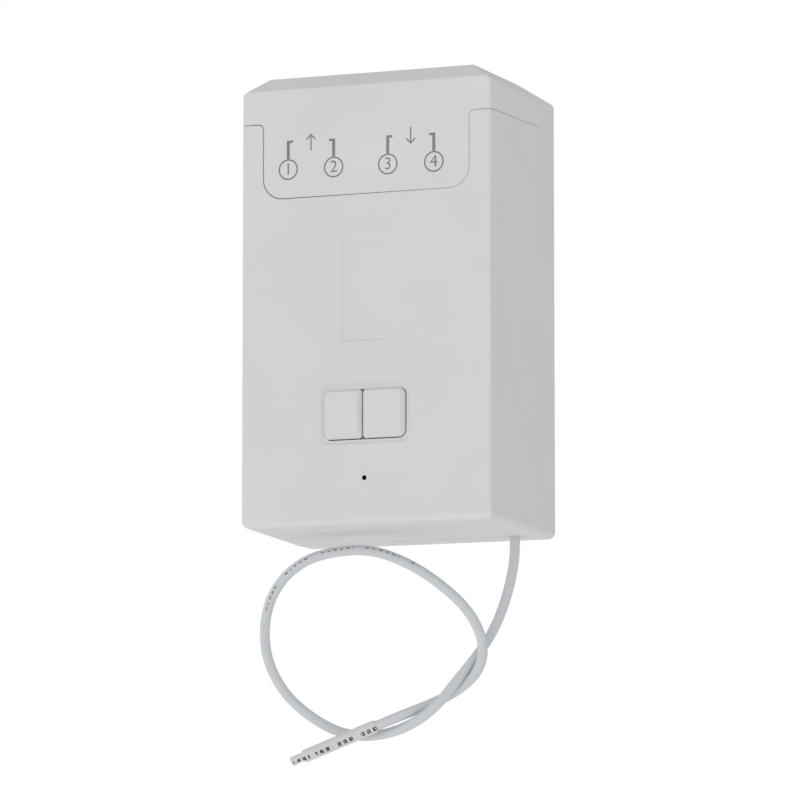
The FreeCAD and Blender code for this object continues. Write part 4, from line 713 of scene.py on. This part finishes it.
SPARKED = {"rough": 0.72, "smooth": 0.62, "sheen": 0.3}
POLISHED = {"scale": 4200.0, "rough": 0.6, "smooth": 0.5, "bump": 0.03, "sheen": 0.35}
FILM = {"scale": 2000.0, "rough": 0.3, "smooth": 0.22, "bump": 0.02}
DIPPED = {"scale": 900.0, "rough": 0.4, "smooth": 0.28, "bump": 0.2}
PLASTIC_LOOKS = {
    "case_plastic": (grey(0.625), grey(0.650), SPARKED),
    "cover_plastic": (grey(0.630), grey(0.655), SPARKED),
    "base_plastic": (grey(0.620), grey(0.645), SPARKED),
    "button_plastic": (grey(0.625), grey(0.650), POLISHED),
    "terminal_plastic": ((0.035, 0.17, 0.05, 1), (0.05, 0.22, 0.07, 1), {}),
    "relay_plastic": ((0.02, 0.07, 0.26, 1), (0.03, 0.09, 0.32, 1), {}),
    "black_plastic": (grey(0.012), grey(0.020), {}),
    "plunger_plastic": (grey(0.010), grey(0.016), {}),
    "capacitor_plastic": ((0.50, 0.36, 0.04, 1), (0.56, 0.42, 0.05, 1), {}),
    "capacitor_sleeve": ((0.01, 0.012, 0.03, 1), (0.016, 0.02, 0.045, 1), FILM),
    "disc_coating": ((0.03, 0.10, 0.30, 1), (0.04, 0.13, 0.36, 1), DIPPED),
}
PLASTICS = {name: plastic(name, dark, light, **feel)
            for name, (dark, light, feel) in PLASTIC_LOOKS.items()}
print("plastics", len(PLASTICS))

# %% [markdown]
# ## Wire and sleeve
# The aerial's insulation is soft, slightly cool white, with a low even gloss. The sleeve over its
# end is warmer and duller. Both carry a row of worn print, here only plain dashes. The dashes have
# to follow the wire and the sleeve, so they read a map that is unwrapped round each: a bevelled
# curve brings its own, and the sleeve is given one. The wire is twisted, which carries its row of
# dashes slowly round it, and most of its length has been rubbed clean.

# %% Node group: a row of worn dashes
def math_in(group, operation, first, second=None):
    """One operation on numbers inside a group; either input may be a number."""
    node = group.nodes.new("ShaderNodeMath")
    node.operation = operation
    for index, value in enumerate((first, second)):
        if isinstance(value, (int, float)):
            node.inputs[index].default_value = value
        elif value is not None:
            group.links.new(value, node.inputs[index])
    return node.outputs["Value"]


DASH_SHARE, WORD_SHARE, TWISTS_FROM, WEAR_SCALE = 0.62, 0.74, 0.6, 2600.0
dashes, start, end = new_group(
    "worn_dashes",
    [("Map", "NodeSocketVector", (0.0, 0.0, 0.0)),
     ("Dashes", "NodeSocketFloat", 12.0),
     ("Groups", "NodeSocketFloat", 3.0),
     ("Line", "NodeSocketFloat", 0.5),
     ("Twist", "NodeSocketFloat", 0.0),
     ("From", "NodeSocketFloat", 0.0),
     ("To", "NodeSocketFloat", 2.0),
     ("Half Height", "NodeSocketFloat", 0.03),
     ("Wear", "NodeSocketFloat", 0.45)],
    [("Mask", "NodeSocketFloat")])
parts = dashes.nodes.new("ShaderNodeSeparateXYZ")
dashes.links.new(start.outputs["Map"], parts.inputs["Vector"])
along_map, round_map = parts.outputs["X"], parts.outputs["Y"]
dash = math_in(dashes, "FRACT", math_in(dashes, "MULTIPLY", along_map, start.outputs["Dashes"]))
word = math_in(dashes, "FRACT", math_in(dashes, "MULTIPLY", along_map, start.outputs["Groups"]))
turning = math_in(dashes, "MULTIPLY", math_in(dashes, "SUBTRACT", along_map, TWISTS_FROM),
                  start.outputs["Twist"])
line = math_in(dashes, "ADD", start.outputs["Line"], turning)
off_line = math_in(dashes, "ABSOLUTE", math_in(dashes, "SUBTRACT", round_map, line))
spots = dashes.nodes.new("ShaderNodeTexCoord").outputs["Object"]
worn = math_in(dashes, "GREATER_THAN", noise_in(dashes, spots, WEAR_SCALE), start.outputs["Wear"])
mask = math_in(dashes, "MULTIPLY", math_in(dashes, "LESS_THAN", dash, DASH_SHARE),
               math_in(dashes, "LESS_THAN", word, WORD_SHARE))
mask = math_in(dashes, "MULTIPLY", mask,
               math_in(dashes, "LESS_THAN", off_line, start.outputs["Half Height"]))
stretch = math_in(dashes, "MULTIPLY",
                  math_in(dashes, "GREATER_THAN", along_map, start.outputs["From"]),
                  math_in(dashes, "LESS_THAN", along_map, start.outputs["To"]))
mask = math_in(dashes, "MULTIPLY", mask, stretch)
dashes.links.new(math_in(dashes, "MULTIPLY", mask, worn), end.inputs["Mask"])
print("group", dashes.name)


def print_dashes(tree, shader, surface, map_socket, tone, values):
    """Mix the tone of print into a surface's colour where the dashes are."""
    row = place_group(tree, dashes, values)
    tree.links.new(map_socket, row.inputs["Map"])
    mix = tree.nodes.new("ShaderNodeMix")
    mix.data_type = "RGBA"
    mix.inputs["B"].default_value = tone
    tree.links.new(row.outputs["Mask"], mix.inputs["Factor"])
    tree.links.new(surface.outputs["Color"], mix.inputs["A"])
    tree.links.new(mix.outputs["Result"], shader.inputs["Base Color"])


# %% Wire insulation
insulation.use_nodes = True
tree = insulation.node_tree
shader = tree.nodes["Principled BSDF"]
surface = place_group(tree, moulded, {"Dark Tone": (0.540, 0.556, 0.576, 1),
                                      "Light Tone": (0.562, 0.580, 0.601, 1),
                                      "Grain Scale": 1400.0, "Low Gloss": 0.46, "High Gloss": 0.38})
tree.links.new(surface.outputs["Roughness"], shader.inputs["Roughness"])
add_bump(tree, surface.outputs["Height"], shader, 0.008, GRAIN_HIGH)
print_dashes(tree, shader, surface, tree.nodes.new("ShaderNodeTexCoord").outputs["UV"],
             (0.16, 0.16, 0.17, 1),
             {"Dashes": 150.0, "Groups": 21.0, "Line": 0.59, "Twist": -0.85,
              "From": 0.51, "To": 0.72, "Half Height": 0.03, "Wear": 0.44})

# %% A map round the sleeve
SLEEVE_MAP = "round"


def map_round(piece, start, direction, length):
    """Write a map with U along the piece and V round it."""
    side = direction.cross(Vector((0, 1, 0))).normalized()
    other = direction.cross(side)
    layer = piece.data.uv_layers.new(name=SLEEVE_MAP)
    for face in piece.data.polygons:
        angles = []
        for loop in face.loop_indices:
            spot = piece.data.vertices[piece.data.loops[loop].vertex_index].co - start
            angles.append(math.atan2(spot.dot(side), spot.dot(other)) / (2 * math.pi) + 0.5)
        wraps = max(angles) - min(angles) > 0.5
        for loop, angle in zip(face.loop_indices, angles):
            spot = piece.data.vertices[piece.data.loops[loop].vertex_index].co - start
            turn = angle + 1.0 if wraps and angle < 0.5 else angle
            layer.data[loop].uv = (spot.dot(direction) / length, turn)


map_round(shrink_sleeve, route[-1], along, SLEEVE_LENGTH)
map_round(pinched_end, route[-1], along, SLEEVE_LENGTH)

# %% Shrink sleeve finish
PRINT_FACES = Vector((0.33, -0.82, -0.47))
side = along.cross(Vector((0, 1, 0))).normalized()
print_line = math.atan2(PRINT_FACES.dot(side), PRINT_FACES.dot(along.cross(side))) / (2 * math.pi) + 0.5
sleeve_finish, tree, shader = new_material("shrink_sleeve")
surface = place_group(tree, moulded, {"Dark Tone": (0.585, 0.588, 0.572, 1),
                                      "Light Tone": (0.625, 0.628, 0.612, 1),
                                      "Grain Scale": 1800.0, "Low Gloss": 0.6, "High Gloss": 0.48})
tree.links.new(surface.outputs["Roughness"], shader.inputs["Roughness"])
add_bump(tree, surface.outputs["Height"], shader, 0.2, GRAIN_HIGH)
sleeve_map = tree.nodes.new("ShaderNodeUVMap")
sleeve_map.uv_map = SLEEVE_MAP
print_dashes(tree, shader, surface, sleeve_map.outputs["UV"], (0.07, 0.07, 0.07, 1),
             {"Dashes": 12.5, "Groups": 3.3, "Line": print_line, "From": -1.0,
              "Half Height": 0.055, "Wear": 0.38})
print("dashes run at", round(print_line, 3), "of the way round")
for piece in (shrink_sleeve, pinched_end):
    piece.data.materials.append(sleeve_finish)
    select_only(piece)
    bpy.ops.object.shade_smooth_by_angle(angle=math.radians(40))

# %% [markdown]
# ## Ink, boards and metals
# Pad print is a flat grey film. The boards are green laminate under a glossy mask, with copper
# tracks that show as lighter lines. Brass and plated steel carry fine turning marks.

# %% Ink
ink, tree, shader = new_material("grey_ink")
surface = place_group(tree, moulded, {"Dark Tone": grey(0.185), "Light Tone": grey(0.215),
                                      "Grain Scale": 2500.0, "Low Gloss": 0.6, "High Gloss": 0.5})
tree.links.new(surface.outputs["Color"], shader.inputs["Base Color"])
tree.links.new(surface.outputs["Roughness"], shader.inputs["Roughness"])
terminal_marks.data.materials.append(ink)


# %% Circuit boards
def board_finish(name, mask_dark, mask_light, track):
    """Solder mask over copper tracks, which show as paler lines on a square grid."""
    material, tree, shader = new_material(name)
    surface = place_group(tree, moulded, {"Dark Tone": mask_dark, "Light Tone": mask_light,
                                          "Grain Scale": 1200.0, "Low Gloss": 0.36,
                                          "High Gloss": 0.28})
    spots = tree.nodes.new("ShaderNodeTexCoord").outputs["Object"]
    cells = tree.nodes.new("ShaderNodeTexVoronoi")
    cells.feature = "F1"
    cells.distance = "CHEBYCHEV"
    cells.inputs["Scale"].default_value = 260.0
    tree.links.new(spots, cells.inputs["Vector"])
    lines = tree.nodes.new("ShaderNodeMapRange")
    lines.inputs["From Min"].default_value = 0.40
    lines.inputs["From Max"].default_value = 0.44
    tree.links.new(cells.outputs["Distance"], lines.inputs["Value"])
    mix = tree.nodes.new("ShaderNodeMix")
    mix.data_type = "RGBA"
    mix.inputs["B"].default_value = track
    tree.links.new(lines.outputs["Result"], mix.inputs["Factor"])
    tree.links.new(surface.outputs["Color"], mix.inputs["A"])
    tree.links.new(mix.outputs["Result"], shader.inputs["Base Color"])
    tree.links.new(surface.outputs["Roughness"], shader.inputs["Roughness"])
    add_bump(tree, lines.outputs["Result"], shader, 0.3, GRAIN_HIGH)
    return material


BOARDS = {
    "circuit_board": board_finish("circuit_board", (0.010, 0.085, 0.030, 1),
                                  (0.014, 0.105, 0.038, 1), (0.035, 0.18, 0.07, 1)),
    "radio_board": board_finish("radio_board", (0.008, 0.02, 0.10, 1), (0.01, 0.03, 0.13, 1),
                                (0.03, 0.07, 0.22, 1)),
}

# %% Node group: turned metal
turned, start, end = new_group(
    "turned_metal",
    [("Dark Tone", "NodeSocketColor", (0.5, 0.5, 0.5, 1)),
     ("Light Tone", "NodeSocketColor", (0.6, 0.6, 0.6, 1)),
     ("Low Gloss", "NodeSocketFloat", 0.4),
     ("High Gloss", "NodeSocketFloat", 0.25)],
    [("Color", "NodeSocketColor"), ("Roughness", "NodeSocketFloat"), ("Height", "NodeSocketFloat")])
spots = turned.nodes.new("ShaderNodeTexCoord").outputs["Object"]
stretch = turned.nodes.new("ShaderNodeMapping")
stretch.inputs["Scale"].default_value = (1.0, 0.12, 1.0)
turned.links.new(spots, stretch.inputs["Vector"])
marks = noise_in(turned, stretch.outputs["Vector"], 5200.0, 3.0)
tone = turned.nodes.new("ShaderNodeMix")
tone.data_type = "RGBA"
turned.links.new(span_of(turned, marks, 0.0, 1.0), tone.inputs["Factor"])
turned.links.new(start.outputs["Dark Tone"], tone.inputs["A"])
turned.links.new(start.outputs["Light Tone"], tone.inputs["B"])
turned.links.new(tone.outputs["Result"], end.inputs["Color"])
turned.links.new(span_of(turned, marks, start.outputs["Low Gloss"], start.outputs["High Gloss"]),
                 end.inputs["Roughness"])
turned.links.new(marks, end.inputs["Height"])


# %% Metals
def metal(name, dark, light, rough, smooth):
    """Turned or plated metal."""
    material, tree, shader = new_material(name)
    surface = place_group(tree, turned, {"Dark Tone": dark, "Light Tone": light,
                                         "Low Gloss": rough, "High Gloss": smooth})
    tree.links.new(surface.outputs["Color"], shader.inputs["Base Color"])
    tree.links.new(surface.outputs["Roughness"], shader.inputs["Roughness"])
    add_bump(tree, surface.outputs["Height"], shader, 0.1, 0.02 * MM)
    shader.inputs["Metallic"].default_value = 1.0
    return material


METALS = {
    "brass": metal("brass", (0.60, 0.40, 0.13, 1), (0.72, 0.52, 0.20, 1), 0.36, 0.22),
    "steel": metal("steel", grey(0.50), grey(0.62), 0.38, 0.24),
    "shield_metal": metal("shield_metal", grey(0.62), grey(0.70), 0.34, 0.22),
    "plated_metal": metal("plated_metal", grey(0.60), grey(0.72), 0.22, 0.12),
}

# %% Clear glass
GLASS = {}
for name, tint in (("lamp_glass", (0.90, 0.94, 0.90, 1)), ("clear_glass", (0.94, 0.96, 0.96, 1))):
    material, tree, shader = new_material(name)
    surface = place_group(tree, moulded, {"Dark Tone": tint, "Light Tone": (0.97, 0.98, 0.97, 1),
                                          "Grain Scale": 600.0, "Low Gloss": 0.12,
                                          "High Gloss": 0.05})
    tree.links.new(surface.outputs["Color"], shader.inputs["Base Color"])
    tree.links.new(surface.outputs["Roughness"], shader.inputs["Roughness"])
    shader.inputs["Transmission Weight"].default_value = 1.0
    GLASS[name] = material

# %% Every piece gets its finish
FINISHES = {**PLASTICS, **BOARDS, **METALS, **GLASS, "wire_insulation": insulation,
            "shrink_sleeve": sleeve_finish}
slot_of = {entry["node"]: entry["material_slot"] for entry in frame["record"]["subparts"]}
finish_of = [(piece, slot_of[node]) for node, piece in frame["nodes"].items()]
finish_of += [(front_shell, "case_plastic"), (lift_cover, "cover_plastic"), (wall_base, "base_plastic")]
finish_of += [(bpy.data.objects[f"{hand}_key_cap"], "button_plastic") for hand in SPLIT_SIDES]
for piece, slot in finish_of:
    piece.data.materials.clear()
    piece.data.materials.append(FINISHES[slot])
print("finishes", len(FINISHES), "on", len(frame["nodes"]), "nodes")

# %% [markdown]
# ## Light and backdrop
# The photograph was taken in a white tent: soft light from the front, the left and below, a little
# less from the right, and least from above. A world that is brighter in some directions gives just
# that, with soft shadows and no lamp in view. The strength is a sum of one even part and one lobe
# for each direction: the direction's own share, squared, times a weight.

# %% World
world = bpy.data.worlds.new("white_tent")
bpy.context.scene.world = world
world.use_nodes = True
tree = world.node_tree
tree.nodes.clear()
direction = tree.nodes.new("ShaderNodeTexCoord").outputs["Generated"]


def vector_step(operation, first, second):
    """One vector operation; the second input may be numbers."""
    node = tree.nodes.new("ShaderNodeVectorMath")
    node.operation = operation
    tree.links.new(first, node.inputs[0])
    if isinstance(second, tuple):
        node.inputs[1].default_value = second
    else:
        tree.links.new(second, node.inputs[1])
    return node.outputs["Value" if operation == "DOT_PRODUCT" else "Vector"]


def number_step(operation, first, second):
    """One operation on numbers; the second input may be a number."""
    node = tree.nodes.new("ShaderNodeMath")
    node.operation = operation
    tree.links.new(first, node.inputs[0])
    if isinstance(second, float):
        node.inputs[1].default_value = second
    else:
        tree.links.new(second, node.inputs[1])
    return node.outputs["Value"]


EVEN = 0.15
TOWARDS = {"right, back, above": (0.62, 0.54, 0.26), "left, front, below": (0.93, 1.02, 0.88)}
flipped = vector_step("MULTIPLY", direction, (-1.0, -1.0, -1.0))
strength = None
for facing, weights in zip((direction, flipped), TOWARDS.values()):
    share = vector_step("MAXIMUM", facing, (0.0, 0.0, 0.0))
    lobe = vector_step("DOT_PRODUCT", vector_step("MULTIPLY", share, share), weights)
    strength = lobe if strength is None else number_step("ADD", strength, lobe)
strength = number_step("ADD", strength, EVEN)
print("tent light", TOWARDS)

# %% White backdrop
rays = tree.nodes.new("ShaderNodeLightPath")
seen = number_step("MAXIMUM", rays.outputs["Is Camera Ray"], rays.outputs["Is Glossy Ray"])
seen = number_step("MAXIMUM", seen, rays.outputs["Is Transmission Ray"])
level = tree.nodes.new("ShaderNodeMix")
level.data_type = "FLOAT"
level.inputs["B"].default_value = 1.0
tree.links.new(seen, level.inputs["Factor"])
tree.links.new(strength, level.inputs["A"])
background = tree.nodes.new("ShaderNodeBackground")
background.inputs["Color"].default_value = (1, 1, 1, 1)
tree.links.new(level.outputs["Result"], background.inputs["Strength"])
output = tree.nodes.new("ShaderNodeOutputWorld")
tree.links.new(background.outputs["Background"], output.inputs["Surface"])

# %% Floor
FLOOR_SIZE, FLOOR_LEVEL = 6.0, -0.32
bpy.ops.object.select_all(action="DESELECT")
bpy.ops.mesh.primitive_plane_add(size=FLOOR_SIZE, location=(0, 0, FLOOR_LEVEL))
floor = bpy.context.object
floor.name = "pale_floor"
floor.visible_diffuse = False
floor.visible_shadow = False
floor_finish, tree, shader = new_material("pale_floor")
shader.inputs["Base Color"].default_value = (0.85, 0.85, 0.85, 1)
shader.inputs["Roughness"].default_value = 0.8
floor.data.materials.append(floor_finish)

# %% [markdown]
# ## View transform
# The dressed object has to stay in the box of the imported model.

# %% Standard view transform
bpy.context.scene.view_settings.view_transform = "Standard"
